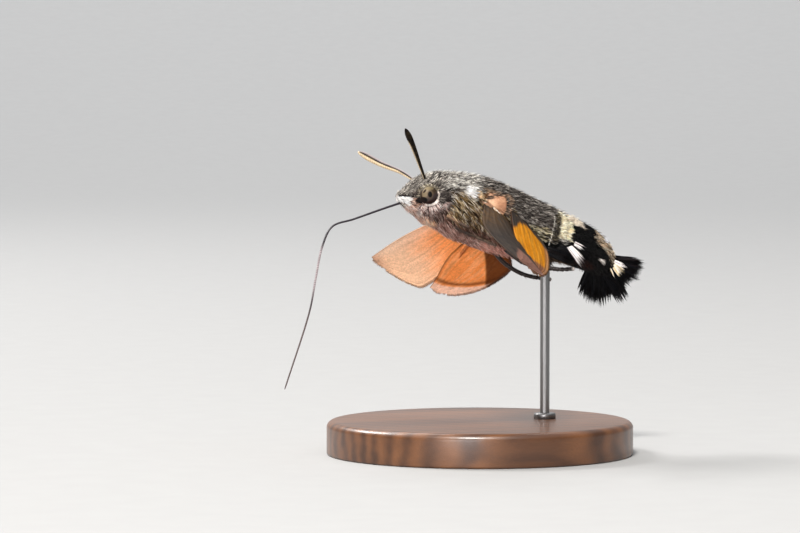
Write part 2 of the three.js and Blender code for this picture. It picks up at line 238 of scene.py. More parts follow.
def ring_faces(rings, count, closed=True):
    """Quads between rings of points, and a fan of triangles to a last point at each end where closed."""
    i, j = grid(np.arange(rings - 1), np.arange(count))
    a, b = i * count + j, i * count + (j + 1) % count
    quads = np.stack([a, b, b + count, a + count], 1)
    if not closed:
        return [quads]
    k, n, end = np.arange(count), rings * count, (rings - 1) * count
    first = np.stack([np.full(count, n), (k + 1) % count, k], 1)
    last = np.stack([np.full(count, n + 1), end + k, end + (k + 1) % count], 1)
    return [quads, first, last]


def turned(faces, side):
    """Faces of a piece made for the right side, turned over for its mirror image on the left."""
    return [f[:, ::-1] for f in faces] if side == LEFT else faces


def sheet_faces(rows, columns, side):
    """Faces of a thin closed sheet, whose points are a grid for its upper side and then one for its lower."""
    n = rows * columns
    i, j = grid(np.arange(rows - 1), np.arange(columns - 1))
    a = i * columns + j
    top = np.stack([a, a + 1, a + columns + 1, a + columns], 1)
    rim = np.concatenate([np.arange(columns), columns * np.arange(2, rows + 1) - 1,
                          np.arange(n - 2, n - columns - 1, -1), columns * np.arange(rows - 2, 0, -1)])
    after = np.roll(rim, -1)
    return turned([top, top[:, ::-1] + n, np.stack([after, rim, rim + n, after + n], 1)], side)


def square_to(along):
    """Two ways square to a path's way: to the side and up."""
    side = unit(ACROSS - along * (along @ ACROSS)[:, None])
    return side, np.cross(along, side)


def tube(path, radius, steps, sides, end=1.0):
    """Closed tube: points, faces, share along and angle of each point, and its place for a material."""
    share = np.linspace(0, end, steps + 1)
    centre, (side, up) = path.even(share), square_to(path.along(share))
    angle = np.linspace(0, 2 * np.pi, sides, endpoint=False)
    ring = side[:, None] * np.cos(angle)[:, None] + up[:, None] * np.sin(angle)[:, None]
    points = (centre[:, None] + ring * radius(share)[:, None, None]).reshape(-1, 3)
    t = np.concatenate([np.repeat(share, sides), share[[0, -1]]])
    angle = np.concatenate([np.tile(angle, steps + 1), [0, 0]])
    place = np.stack([t * path.length, angle, 0 * t], 1)
    return np.vstack([points, centre[:1], centre[-1:]]), ring_faces(steps + 1, sides), t, angle, place


TUFT_PATCH = 0.003
TUFT_RIDGE = 0.42


def tufts(paths, facing, width, colours, roots):
    """Thin closed blades along paths (tuft, point, xyz): points, faces, colours and bake map."""
    count, steps = paths.shape[:2]
    along = unit(np.gradient(paths, axis=1))
    across = unit(np.cross(along, facing))
    t = np.linspace(0, 1, steps)
    profile = (1 - t ** 2.2)[None, :, None] * width[:, None, None]
    left, right = paths + across * profile / 2, paths - across * profile / 2
    ridge = paths + facing * profile * TUFT_RIDGE
    rings = np.stack([left, right, ridge], 2)[:, :-1].reshape(count, -1, 3)
    points = np.concatenate([rings, paths[:, -1:]], 1)
    faces = [[0, 2, 1]]
    for k in range(0, 3 * (steps - 2), 3):
        for a, b in ((0, 1), (1, 2), (2, 0)):
            faces += [[k + a, k + b, k + b + 3], [k + a, k + b + 3, k + a + 3]]
    end = 3 * (steps - 2)
    faces += [[end + a, end + b, end + 3] for a, b in ((0, 1), (1, 2), (2, 0))]
    size = points.shape[1]
    faces = (np.array(faces)[None] + np.arange(count)[:, None, None] * size).reshape(-1, 3)
    patch_u = np.append(np.tile([0, 1, 0.5], steps - 1), 0.5)
    patch_v = np.append((t[:-1, None] + np.array([0, 0, 0.15])).ravel(), 1.0)
    patch = np.stack([patch_u, patch_v], 1) * TUFT_PATCH
    shades = np.concatenate([np.repeat(colours[:, :-1], 3, axis=1), colours[:, -1:]], 1)
    uv = roots[:, None] * (1 - TUFT_PATCH) + patch
    return points.reshape(-1, 3), faces, shades.reshape(-1, 3), uv.reshape(-1, 2)


def add_tufts(name, parts, finish):
    """A shown piece of one or more parts, each the points, faces, colours and bake map of its tufts."""
    starts = np.cumsum([0] + [len(part[0]) for part in parts])
    faces = [part[1] + start for part, start in zip(parts, starts)]
    points, colours, uv = (np.concatenate([part[k] for part in parts]) for k in (0, 2, 3))
    return add_piece(name, points, faces, finish, colours, uv=uv)


# Materials

class Finish:
    """A node material whose surface takes these fixed settings."""

    def __init__(self, name, **settings):
        self.material = bpy.data.materials.new(name)
        self.material.use_nodes = True
        self.tree = self.material.node_tree
        self.surface = self.tree.nodes["Principled BSDF"]
        for socket, value in settings.items():
            self.surface.inputs[socket.replace("_", " ")].default_value = value

    def node(self, kind, inputs=None, **settings):
        made = self.tree.nodes.new("ShaderNode" + kind)
        for name, value in settings.items():
            setattr(made, name, value)
        for socket, value in (inputs or {}).items():
            if isinstance(value, bpy.types.NodeSocket):
                self.tree.links.new(value, made.inputs[socket])
            else:
                made.inputs[socket].default_value = value
        return made.outputs

    def feed(self, socket, value):
        self.tree.links.new(value, self.surface.inputs[socket])

    def place(self, scale=(1, 1, 1), attribute=None):
        """Object coordinates in millimetres, or those of a point attribute, stretched by scale."""
        if attribute:
            source = self.node("Attribute", attribute_name=attribute)["Vector"]
        else:
            source, scale = self.node("TexCoord")["Object"], [s / MM for s in scale]
        return self.node("Mapping", {"Vector": source, "Scale": scale})["Vector"]

    def grain(self, vector, size, detail=3.0):
        return self.node("TexNoise", {"Vector": vector, "Scale": 1 / size, "Detail": detail})["Fac"]

    def level(self, fac, low, high):
        return self.node("MapRange", {"Value": fac, "To Min": low, "To Max": high})["Result"]

    def grey(self, fac, low, high):
        level = self.level(fac, low, high)
        return self.node("CombineColor", {"Red": level, "Green": level, "Blue": level})["Color"]

    def tint(self, fac, low, high, colour=None):
        """Base colour: the mesh's own colours or another one, made darker and lighter by fac."""
        colour = colour or self.node("Attribute", attribute_name="Tint")["Color"]
        product = self.node("Mix", {6: colour, 7: self.grey(fac, low, high), 0: 1.0}, data_type="RGBA",
                            blend_type="MULTIPLY")
        self.feed("Base Color", product[2])

    def bump(self, height, distance, strength=1.0):
        made = self.node("Bump", {"Height": height, "Distance": distance * MM, "Strength": strength})
        self.feed("Normal", made["Normal"])


def make_coat_finish(name, roughness, sheen):
    f = Finish(name, Roughness=roughness, Sheen_Weight=sheen, Sheen_Roughness=0.4, Specular_IOR_Level=0.14)
    fine = f.grain(f.place(), 0.09)
    f.tint(fine, 0.75, 1.25)
    f.bump(fine, 0.02, 0.5)
    return f.material


def make_skin_finish():
    f = Finish("skin_short_fur", Roughness=0.85, Specular_IOR_Level=0.2)
    streaks = f.grain(f.place((0.5, 2.0, 2.0)), 0.12, 5.0)
    f.tint(streaks, 0.45, 1.3)
    f.bump(streaks, 0.08)
    return f.material


def make_eye_finish():
    f = Finish("eye_facets", Roughness=0.55, Specular_IOR_Level=0.12, Coat_Weight=0.05, Coat_Roughness=0.15)
    cells = f.node("TexVoronoi", {"Vector": f.place(), "Scale": 22.0}, feature="F1")["Distance"]
    f.tint(cells, 1.1, 0.85)
    f.bump(cells, -0.008, 0.5)
    return f.material


# Scale at which a wave texture's light and dark bands are each 1 mm long
BAND_SCALE = 0.159


def make_horn_finish(name, roughness, ring, depth, shine):
    """Hard skin in short rings, as on feelers, legs and proboscis. ring is a ring's length."""
    f = Finish(name, Roughness=roughness, Specular_IOR_Level=shine)
    waves = {"Vector": f.place((1, 0, 0), "Place"), "Scale": BAND_SCALE / ring,
             "Distortion": 0.4, "Detail": 1.0}
    bands = f.node("TexWave", waves, bands_direction="X")["Fac"]
    grain = f.grain(f.place(), 0.06)
    both = f.node("Math", {0: bands, 1: grain}, operation="MULTIPLY")["Value"]
    f.tint(both, 0.7, 1.25)
    f.bump(both, depth)
    return f.material


def make_wing_finish():
    """Rows of flat scales across the wing, each a little lighter or darker."""
    f = Finish("wing_scales", Roughness=0.6, Specular_IOR_Level=0.06)
    where = f.place((4.5, 9.0, 1.0), "Place")
    scales = f.node("TexVoronoi", {"Vector": where, "Scale": 1.0, "Randomness": 0.55}, feature="F1")
    own = f.node("SeparateColor", {"Color": scales["Color"]})["Red"]
    streaks = f.grain(f.place((0.3, 3.0, 1.0), "Place"), 1.0)
    both = f.node("Math", {0: own, 1: streaks}, operation="ADD")["Value"]
    level = f.node("Math", {0: both, 1: 0.5}, operation="MULTIPLY")["Value"]
    f.tint(level, 0.72, 1.22)
    f.bump(scales["Distance"], -0.02, 0.6)
    return f.material


WALNUT_BANDS = ((0.4, "422818"), (0.95, "6e4629"))


def make_walnut_finish():
    f = Finish("walnut", Roughness=0.38, Coat_Weight=0.25, Coat_Roughness=0.2)
    where = f.place((0.05, 0.6, 0.6))
    warp = f.grain(where, 1.6, 4.0)
    growth = {"Vector": where, "Scale": 0.3, "Distortion": 9.0, "Detail": 3.0, "Detail Scale": 0.7}
    rings = f.node("TexWave", growth, bands_direction="Y")["Fac"]
    pores = f.grain(f.place((0.25, 6.0, 6.0)), 0.5, 2.0)
    both = f.node("Math", {0: rings, 1: 0.35, 2: warp}, operation="MULTIPLY_ADD")["Value"]
    ramp = f.node("ValToRGB", {"Fac": both})
    for band, (place, text) in zip(ramp["Color"].node.color_ramp.elements, WALNUT_BANDS):
        band.position, band.color = place, (*tone(text), 1)
    f.tint(pores, 0.75, 1.15, ramp["Color"])
    f.bump(pores, 0.03, 0.4)
    return f.material


def make_steel_finish():
    f = Finish("brushed_steel", Metallic=1.0, Roughness=0.4)
    lines = f.grain(f.place((4.0, 4.0, 0.15)), 0.3)
    f.feed("Base Color", f.grey(lines, 0.2, 0.34))
    f.feed("Roughness", f.level(lines, 0.34, 0.5))
    f.bump(lines, 0.01, 0.3)
    return f.material


COAT = make_coat_finish("coat_hair", 0.6, 0.02)
BLACK_COAT = make_coat_finish("black_hair", 0.4, 0.0)
SKIN = make_skin_finish()
EYE = make_eye_finish()
FEELER = make_horn_finish("feeler_rings", 0.7, 0.16, 0.03, 0.12)
HORN = make_horn_finish("dark_horn", 0.4, 0.1, 0.015, 0.45)
WING = make_wing_finish()

# Coat zones, a later one lying over an earlier one. Falls are degrees down from the back, on either side.
# edge is how far, in stations and in degrees, a zone mixes with what is round it. slope tilts a zone, in
# degrees per station. tones are colours, each with its weight.
Zone = namedtuple("Zone", "name stations falls edge length width droop lift tones slope", defaults=(0.0,))
GREY_TONES = "e2dcd2*4 a8a198*3 5d5651*3 221d1b*3 f6f0e6*2"
DARK_TONES = "8f867f*4 645c56*4 332d2a*4 141110*4 cfc7bd*2"
BLACK_TONES = "020202*7 070607*3 131010*1"
ZONES = [
    Zone("all", (0, 16), (0, 180), (0.1, 2), 0.75, 0.085, 8, 0.03, GREY_TONES),
    Zone("head top", (0, 3.8), (0, 90), (0.3, 6), 0.42, 0.08, 4, 0.02,
         "d2cabf*4 9c948b*3 5a524c*3 1c1716*4"),
    Zone("thorax front", (3.5, 6.5), (0, 78), (0.5, 12), 0.8, 0.085, 14, 0.06,
         "fffaf0*7 d6cfc5*4 8a827a*4 3a3330*3 171211*3"),
    Zone("thorax rear", (6.4, 10.0), (0, 122), (0.7, 8), 1.0, 0.075, 8, 0.05, DARK_TONES),
    # Belly, belly rear and throat: the underside's own pale pink made lighter as painted light thrown up from
    # below; the belly rear and throat are lighter still against the shadow under the body.
    Zone("belly", (2.8, 9.4), (138, 180), (0.3, 8), 0.85, 0.085, 5, 0.03,
         "e6bcae*4 bd8a7f*3 6b443c*3 f6dcd0*2"),
    Zone("belly rear", (7.3, 9.6), (142, 180), (0.4, 8), 0.8, 0.085, 5, 0.03,
         "ffcfc0*5 e8a090*4 a86c60*2"),
    Zone("throat", (2.4, 4.6), (150, 180), (0.4, 8), 0.6, 0.085, 4, 0.02,
         "ffe6d2*6 ffcba4*4 dca078*1"),
    Zone("neck side", (3.8, 5.6), (70, 140), (0.4, 8), 1.1, 0.085, 42, 0.1,
         "c9bfb4*4 82776e*3 3f3733*5 181310*4 fff8ee*2"),
    Zone("lower flank", (4.2, 8.6), (114, 148), (0.4, 8), 1.3, 0.09, 30, 0.09,
         "a07868*3 6a4c40*4 22150f*6 e0bcae*2"),
    Zone("flank", (5.0, 7.8), (78, 132), (0.7, 9), 1.75, 0.09, 38, 0.12,
         "957a50*4 64503a*4 1d140e*5 d4c09a*3 f6ead6*2"),
    Zone("cheek", (1.3, 3.6), (106, 180), (0.3, 6), 0.5, 0.08, 6, 0.02,
         "ffdcca*5 e8b8a2*3 a06a56*2 fff2ea*3"),
    Zone("cheek front", (1.5, 2.6), (98, 136), (0.3, 8), 0.45, 0.08, 6, 0.03,
         "d2ab96*4 94705e*4 4e3932*3 f0d6c6*2"),
    Zone("before the eye", (1.6, 2.7), (74, 100), (0.3, 5), 0.38, 0.08, 4, 0.02,
         "a99c90*3 5e524c*3 2a2220*3 d8cbbd*1"),
    Zone("white palp", (0, 1.55), (95, 148), (0.1, 3), 0.45, 0.09, 6, 0.03, "ffffff*9 fff4ec*2"),
    Zone("palp tip", (0, 0.6), (98, 180), (0.1, 3), 0.3, 0.09, 4, 0.0, "ffffff*9 fff4ec*2"),
    Zone("eye blotch", (2.05, 2.9), (97, 113), (0.08, 2), 0.3, 0.08, 0, 0.01, "120c0b*3 241a18*1"),
    Zone("behind the eye", (4.05, 5.0), (80, 104), (0.15, 5), 0.6, 0.085, 20, 0.03,
         "4a423e*4 2a2423*3 8a8078*2"),
    Zone("lashes", (2.9, 4.7), (117, 152), (0.2, 6), 1.15, 0.08, 50, 0.1,
         "e2cec6*3 a88b82*4 46332f*5"),
    Zone("olive abdomen", (8.3, 9.75), (94, 128), (0.3, 5), 0.8, 0.085, 6, 0.05,
         "e2d2a8*4 9c9070*3 3a3428*4 fff4d6*3 1a1614*3"),
    Zone("abdomen belly", (9.3, 12.2), (142, 180), (0.3, 8), 0.7, 0.085, 3, 0.03,
         "5a4737*3 33271e*4 8a745c*1"),
    Zone("crown", (3.3, 4.7), (22, 84), (0.3, 6), 0.9, 0.085, -34, 0.05,
         "ece5da*3 a89f94*3 4c4541*4 1a1513*5"),
    Zone("black", (10.55, 16), (0, 140), (0.15, 6), 0.8, 0.085, 5, 0.03, BLACK_TONES),
    Zone("black below", (11.6, 16), (130, 180), (0.3, 6), 0.8, 0.085, 5, 0.03, BLACK_TONES),
    Zone("black flank", (9.25, 10.7), (118, 150), (0.15, 4), 0.8, 0.085, 12, 0.05, BLACK_TONES),
    Zone("red brown", (11.2, 12.7), (126, 160), (0.3, 8), 0.7, 0.085, 5, 0.03, "3d1c15*3 1c0e0b*4"),
    Zone("comb", (9.78, 10.05), (50, 118), (0.05, 5), 0.42, 0.07, 4, 0.03, "241f1c*4 8a7f68*3"),
    Zone("cream patch", (10.0, 10.68), (40, 106), (0.07, 4), 0.6, 0.08, 7, 0.015,
         "fff8de*8 ffebc0*4 dcbf88*1"),
    Zone("cream back", (10.5, 11.3), (16, 56), (0.08, 4), 0.6, 0.085, 4, 0.05, "f4e8d8*5 d4c4ae*4"),
    Zone("tan back", (11.9, 13.8), (22, 72), (0.25, 8), 0.9, 0.065, 5, 0.07,
         "ffedd2*5 e2c09c*3 7a604a*2 1c1512*3 0a0707*3"),
    Zone("white shoulder", (5.6, 6.12), (60, 82), (0.08, 3), 0.8, 0.09, 24, 0.1, "ffffff*6 f2ebe6*2"),
    Zone("cream bump", (6.2, 6.5), (67, 80), (0.05, 3), 0.5, 0.085, 30, 0.08, "f8d8b0*5 dcae7e*3"),
    Zone("tan band", (6.5, 7.5), (57, 68), (0.1, 3), 0.6, 0.08, 4, 0.05, "bfa388*4 8b735c*3 665546*2"),
    Zone("peach patch", (6.55, 7.5), (66, 94), (0.06, 2), 0.3, 0.1, 12, 0.0, "e8b896*6 d8a380*3"),
    Zone("brown notch", (6.42, 6.62), (66, 78), (0.05, 2), 0.35, 0.08, 6, 0.03,
         "5c3f26*3 86603c*1"),
]
PALETTES = [(colours, np.cumsum(weights) / weights.sum())
            for colours, weights in (weighed(z.tones) for z in ZONES)]
RAGGED_STATION = 0.12
RAGGED_FALL = 5.0


def zone_at(station, fall, chance):
    """Number of the zone at each place. chance, 0 to 1, decides where two zones mix."""
    where = np.stack([station * 4, fall / 8], -1)
    station = station + RAGGED_STATION * (noise(where, 1.0, 3) - 0.5)
    fall = fall + RAGGED_FALL * (noise(where, 1.0, 5) - 0.5)
    number = np.zeros(len(station), int)
    for k, z in enumerate(ZONES):
        low = fall - z.slope * (station - z.stations[0])
        inside = np.ones(len(station))
        for value, (start, end), edge in ((station, z.stations, z.edge[0]), (low, z.falls, z.edge[1])):
            at_start = 1.0 if start <= 0 else np.clip(0.5 + (value - start) / edge, 0, 1)
            at_end = 1.0 if end >= 180 else np.clip(0.5 + (end - value) / edge, 0, 1)
            inside = inside * at_start * at_end
        number[inside > chance] = k
    return number


def zone_values(number, field):
    return np.array([getattr(z, field) for z in ZONES])[number]


def zone_tones(number, chance):
    """A colour of each one's zone, drawn by chance."""
    out = np.zeros((len(number), 3))
    for k, (colours, shares) in enumerate(PALETTES):
        mine = number == k
        out[mine] = colours[np.minimum(np.searchsorted(shares, chance[mine]), len(colours) - 1)]
    return out


# Skin, one closed surface under the whole coat
COAT_DEPTH = 0.34
NOSE_DEPTH = 0.12
EYE_AT = np.array([-6.5, 1.9, 0.9])
EYE_RADII = np.array([0.99, 0.84, 0.99])
SOCKET_RADIUS = 0.84
SKIN_FIRST, SKIN_LAST = 0.02, 14.95
SKIN_ROWS, SKIN_COLUMNS = 210, 140
# Painted shade: the skin's colours are darkened as it lies in the shade of the coat
SKIN_PAINTED_SHADE = 0.5
TRIM = 0.12
SNOUT_TRIM = (0.2, 0.1)
SEGMENTS = (9.75, 10.68, 11.6, 12.5, 13.3, 14.0)
CREASE_DEPTH, CREASE_WIDTH = 0.07, 0.06
MOUTH_DEPTH, MOUTH_FALL = 0.12, 91
SOCKET_DEPTH = 0.3


def coat_depth(station):
    return mix(0.02, NOSE_DEPTH, rise(station, 0, 1)) + (COAT_DEPTH - NOSE_DEPTH) * (
        rise(station, 0.5, 4.5) - 0.5 * rise(station, 13.5, 15))


def coat_top(station, around):
    """How far the lying coat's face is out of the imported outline."""
    level = np.cos(around)
    trim = TRIM * rise(station, 0.0, 1.2)
    slim = np.where(level > 0, SNOUT_TRIM[0] * level, -SNOUT_TRIM[1] * level)
    return -trim - slim * np.exp(-((station - 1.2) / 0.9) ** 2)


def from_eye(points):
    """Distance from the axis of the eye on the same side, seen from the side."""
    away = np.hypot(points[..., 0] - EYE_AT[0], points[..., 2] - EYE_AT[2])
    return np.where(np.abs(points[..., 1]) > 1.2, away, 9.0)


def make_skin():
    station, around = grid(np.linspace(SKIN_FIRST, SKIN_LAST, SKIN_ROWS),
                           np.linspace(-np.pi, np.pi, SKIN_COLUMNS, endpoint=False))
    fall = np.abs(np.degrees(around))
    out = coat_top(station, around) - coat_depth(station)
    for segment in SEGMENTS:
        out = out - CREASE_DEPTH * np.exp(-((station - segment) / CREASE_WIDTH) ** 2)
    out = out - MOUTH_DEPTH * np.exp(-((fall - MOUTH_FALL) / 5) ** 2) * (1 - rise(station, 1.8, 2.5))
    socket = 1 - rise(from_eye(body(station, around, out)[0]), 0.8, 1.15)
    points = body(station, around, out - SOCKET_DEPTH * socket)[0]
    number = zone_at(station, fall, np.full(len(station), 0.5))
    # Painted shade darkens the skin's zone colours
    colours = zone_tones(number, rng.random(len(station)) * 0.999) * SKIN_PAINTED_SHADE
    ends = [SPINE.at(np.array(s / LAST)) for s in (SKIN_FIRST, SKIN_LAST)]
    add_piece("moth_skin", np.vstack([points, ends]), ring_faces(SKIN_ROWS, SKIN_COLUMNS), SKIN,
              np.vstack([colours, colours[[0, -1]]]),
              stands_for=("head", "thorax", "abdomen", "palp_left", "palp_right"))


# Coat of the body: tufts in locks that lie back over the skin
HAIRS_PER_LOCK = 7
LOCK_RADIUS = 0.11
LOCK_PULL = 0.55
ROOT_DEPTH = 0.04
LOCK_TONE = 0.45
# How much locks swing to either side at stations along the body, in radians
WAVE = ((0, 0.1), (3.5, 0.13), (5.5, 0.13), (7, 0.06), (9.5, 0.035), (15, 0.04))
# Painted shade at the hair roots: how light hairs are at the root beside their tip, and in the patches that
# are pale down to the skin
ROOT_SHADE, PATCH_ROOT_SHADE = 0.22, 0.75
PATCH_NAMES = ("white palp", "palp tip", "cream patch", "cream back", "tan back", "white shoulder", "throat")
PATCHES = [k for k, z in enumerate(ZONES) if z.name in PATCH_NAMES]
TUFT_STEPS = 4
# Tufts in a square millimetre at stations along the body
DENSITY = ((0, 335), (3.5, 260), (5, 160), (9, 140), (15, 120))
COAT_SPAN = (0.03, 14.9)
# How much hairs that reach over an eye are cut, time after time
SOCKET_TRIMS = (0.6, 0.6, 0.0)
# Share of a hair's length that takes the markings of the place it lies over
SEEN_SHARE = 0.65
STRAYS, STRAY_LIFT = 0.05, 0.22
# Pieces of the coat: name, first and last station, first and last fall, side (0 for both)
COAT_PIECES = (
    ("head_top", 0, 3.2, 0, 90, 0), ("head_throat", 0, 3.2, 90, 181, 0),
    ("neck_top", 3.2, 4.7, 0, 90, 0), ("neck_under", 3.2, 4.7, 90, 181, 0),
    ("thorax_back", 4.7, 6.9, 0, 60, 0), ("thorax_left", 4.7, 6.9, 60, 125, LEFT),
    ("thorax_right", 4.7, 6.9, 60, 125, RIGHT), ("thorax_breast", 4.7, 6.9, 125, 181, 0),
    ("waist_back", 6.9, 9, 0, 75, 0), ("waist_left", 6.9, 9, 75, 181, LEFT),
    ("waist_right", 6.9, 9, 75, 181, RIGHT),
    ("abdomen_front_back", 9, 11.2, 0, 90, 0), ("abdomen_front_belly", 9, 11.2, 90, 181, 0),
    ("abdomen_rear_back", 11.2, 16, 0, 90, 0), ("abdomen_rear_belly", 11.2, 16, 90, 181, 0),
)


def scatter(density, stations):
    """Random places on the body outline, so many to the square millimetre."""
    s, a = grid(np.linspace(*stations, 60), np.linspace(-np.pi, np.pi, 60))
    back, down = per_step(s, a)
    peak = (back * down * density(s)).max() * 1.02
    tries = int(peak * (stations[1] - stations[0]) * 2 * np.pi)
    s = rng.uniform(*stations, tries)
    a = rng.uniform(-np.pi, np.pi, tries)
    back, down = per_step(s, a)
    keep = rng.random(tries) * peak < back * down * density(s)
    return s[keep], a[keep]


def lie_back(station, around, length, droop, lift, bend, lock_s, lock_a):
    """Paths of tufts that leave the skin and lie back over it, drawn towards where their lock starts."""
    back, down = per_step(station, around)
    t = np.linspace(0, 1, TUFT_STEPS)
    ease = rise(np.abs(around), 0, 0.5) * (1 - rise(np.abs(around), 2.6, np.pi))
    turn = np.radians(droop) * ease * np.sign(around) + bend
    s = station[:, None] + (length * np.cos(turn) / back)[:, None] * t
    a = around[:, None] + (length * np.sin(turn) / down)[:, None] * t
    s = s + ((lock_s - station) * LOCK_PULL)[:, None] * t ** 2
    a = a + ((lock_a - around) * LOCK_PULL)[:, None] * t ** 2
    depth = coat_depth(station)[:, None] + ROOT_DEPTH
    out = coat_top(s, a) - depth + (depth + lift[:, None]) * (1 - (1 - t) ** 1.7)
    return body(np.clip(s, 0, LAST), a, out)


def hair_density(station):
    return np.interp(station, *zip(*DENSITY)) / HAIRS_PER_LOCK


def make_coat():
    lock_s, lock_a = scatter(hair_density, COAT_SPAN)
    locks = len(lock_s)
    lock_number = zone_at(lock_s, np.abs(np.degrees(lock_a)), rng.random(locks))
    back, down = per_step(lock_s, lock_a)
    each = np.repeat(np.arange(locks), HAIRS_PER_LOCK)
    spread = rng.normal(0, LOCK_RADIUS, (2, len(each)))
    s = np.clip(lock_s[each] + spread[0] / back[each], SKIN_FIRST, SKIN_LAST)
    a = (lock_a[each] + spread[1] / down[each] + np.pi) % (2 * np.pi) - np.pi
    near = np.abs(a - lock_a[each]) < np.pi
    s, a, each = s[near], a[near], each[near]
    number = lock_number[each]
    lock_size = rng.uniform(0.75, 1.2, locks)
    length = zone_values(number, "length") * lock_size[each] * rng.uniform(0.75, 1.2, len(each))
    wave = np.interp(lock_s, *zip(*WAVE))
    lock_turn = rng.normal(0, 1, locks) * wave
    bend = lock_turn[each] + rng.normal(0, 0.5, len(each)) * wave[each]
    stray = rng.random(len(each)) < STRAYS
    lock_lift = rng.uniform(0.1, 1.9, locks)
    lift = zone_values(number, "lift") * lock_lift[each] + np.where(stray, STRAY_LIFT, 0.0)
    hairs = [s, a, length, zone_values(number, "droop"), lift, bend, lock_s[each], lock_a[each]]

    for shrink in SOCKET_TRIMS:
        away = from_eye(lie_back(*hairs)[0])
        hairs[2] = np.where((away < SOCKET_RADIUS).any(1), hairs[2] * shrink, hairs[2])
    kept = hairs[2] > 0.05
    each = each[kept]
    hairs = [v[kept] for v in hairs]
    s, a, length, droop = hairs[:4]
    paths, facing = lie_back(*hairs)
    back, down = per_step(s, a)
    turn = np.radians(droop) * np.sign(a)
    seen_s = s + SEEN_SHARE * length * np.cos(turn) / back
    seen_fall = np.degrees(np.abs(a + SEEN_SHARE * length * np.sin(turn) / down))
    number = zone_at(seen_s, np.minimum(seen_fall, 180), rng.random(len(s)))
    own, shared = rng.random(len(s)), rng.random(locks)[each]
    base = zone_tones(number, np.where(rng.random(len(s)) < LOCK_TONE, shared, own) * 0.999)
    lock_light = rng.normal(1.0, 0.14, locks)[each]
    base = base * (lock_light * rng.uniform(0.75, 1.2, len(s)))[:, None]
    # Painted shade: each hair darkens toward its root, less in the pale patches
    shade = np.linspace(0, 1, TUFT_STEPS)[None, :, None] ** 0.7
    root = np.where(np.isin(number, PATCHES), PATCH_ROOT_SHADE, ROOT_SHADE)[:, None, None]
    colours = np.clip(base[:, None] * mix(root, 1.0, shade), 0, 1)
    width = zone_values(number, "width") * rng.uniform(0.55, 1.05, len(s))
    fall = np.degrees(np.abs(a))
    for name, first, last, high, low, side in COAT_PIECES:
        mine = (s >= first) & (s < last) & (fall >= high) & (fall < low)
        if side:
            mine &= np.sign(a) == -side
        roots = np.stack([(s[mine] - first) / (last - first), (a[mine] + np.pi) / (2 * np.pi)], 1)
        made = tufts(paths[mine], facing[mine], width[mine], colours[mine], np.clip(roots, 0, 1))
        add_tufts(f"coat_{name}", [made], COAT)


SCALE_ROOT = 0.1
# Rows of scales that stand clear of the coat. line has (station, fall) places, scatter is to each side of it
# in millimetres, turn is how far the scales point down, in degrees.
Row = namedtuple("Row", "line scatter turn length width lift count tones")
ROWS = (
    Row(((0.05, 89), (0.4, 91), (0.8, 91), (1.2, 94), (1.7, 96), (2.2, 97)), 0.028, 4, 0.26, 0.08, 0.13, 240,
        "150f0e*5 3a2e2b*1"),
    Row(((1.7, 88), (2.1, 86), (2.5, 80)), 0.12, -12, 0.34, 0.075, 0.06, 90, "2a2321*4 6b615b*1"),
    Row(((9.72, 60), (9.68, 90), (9.72, 122)), 0.03, 70, 0.17, 0.055, 0.08, 90,
        "fffaf0*5 b8ae9c*2"),
    Row(((9.88, 56), (9.82, 90), (9.86, 116)), 0.05, 4, 0.5, 0.06, 0.07, 80,
        "15110f*4 4c443a*1"),
    # A bright cream line along the lower edge of the wing's root: a painted highlight on that edge, made of
    # scales.
    Row(((6.92, 87), (7.2, 92), (7.5, 98)), 0.02, 62, 0.4, 0.08, 0.16, 80, "fff3e2*3 f2d2ac*1"),
    Row(((6.55, 76), (6.95, 64), (7.4, 56), (7.58, 62), (7.6, 80), (7.52, 92)), 0.07, 8, 0.5, 0.085,
        0.16, 190, "8d7462*3 5a4a40*4 b89a80*2 2c2420*2"),
    # A bluish white spot on the abdomen's back: a painted highlight, made of scales.
    Row(((12.45, 38), (12.55, 41)), 0.045, 0, 0.42, 0.12, 0.24, 40, "f6f8ff*1"),
    Row(((12.4, 104), (12.55, 102)), 0.045, -8, 1.15, 0.08, 0.2, 40, "fffcf6*5 d8ccc4*2"),
)


def standing_scales(kind, s, a, least_lift, root_shade, roots):
    """Tufts that stand clear of the coat, darker toward the root as painted shade. kind has their lift,
    tones, count and width.
    """
    t = np.linspace(0, 1, TUFT_STEPS)
    lift = kind.lift * rng.uniform(least_lift, 1.3, kind.count)[:, None]
    paths, facing = body(s, a, coat_top(s, a) - SCALE_ROOT + (SCALE_ROOT + lift) * (1 - (1 - t) ** 2))
    colours = draw_tones(kind.tones, kind.count)[:, None] * mix(root_shade, 1.0, t)[None, :, None]
    roots = np.clip(np.stack(roots(), 1), 0, 1)
    return tufts(paths, facing, kind.width * rng.uniform(0.8, 1.2, kind.count), colours, roots)


def make_rows():
    parts = []
    for row, side in itertools.product(ROWS, SIDES.values()):
        share = rng.random(row.count) * (len(row.line) - 1)
        s, fall = (np.interp(share, range(len(row.line)), v) for v in np.array(row.line).T)
        fall = np.radians(fall)
        back, down = per_step(s, fall)
        s, fall = (v + rng.normal(0, row.scatter, row.count) / step for v, step in ((s, back), (fall, down)))
        turn = np.radians(row.turn) + rng.normal(0, 0.12, row.count)
        length = (row.length * rng.uniform(0.75, 1.2, row.count))[:, None] * np.linspace(0, 1, TUFT_STEPS)
        s = s[:, None] + length * (np.cos(turn) / back)[:, None]
        fall = fall[:, None] + length * (np.sin(turn) / down)[:, None]
        parts.append(standing_scales(row, s, -side * fall, 0.7, 0.55, lambda: (
            s[:, 0] / LAST, (np.pi - side * fall[:, 0]) / (2 * np.pi))))
    add_tufts("coat_marking_rows", parts, COAT)


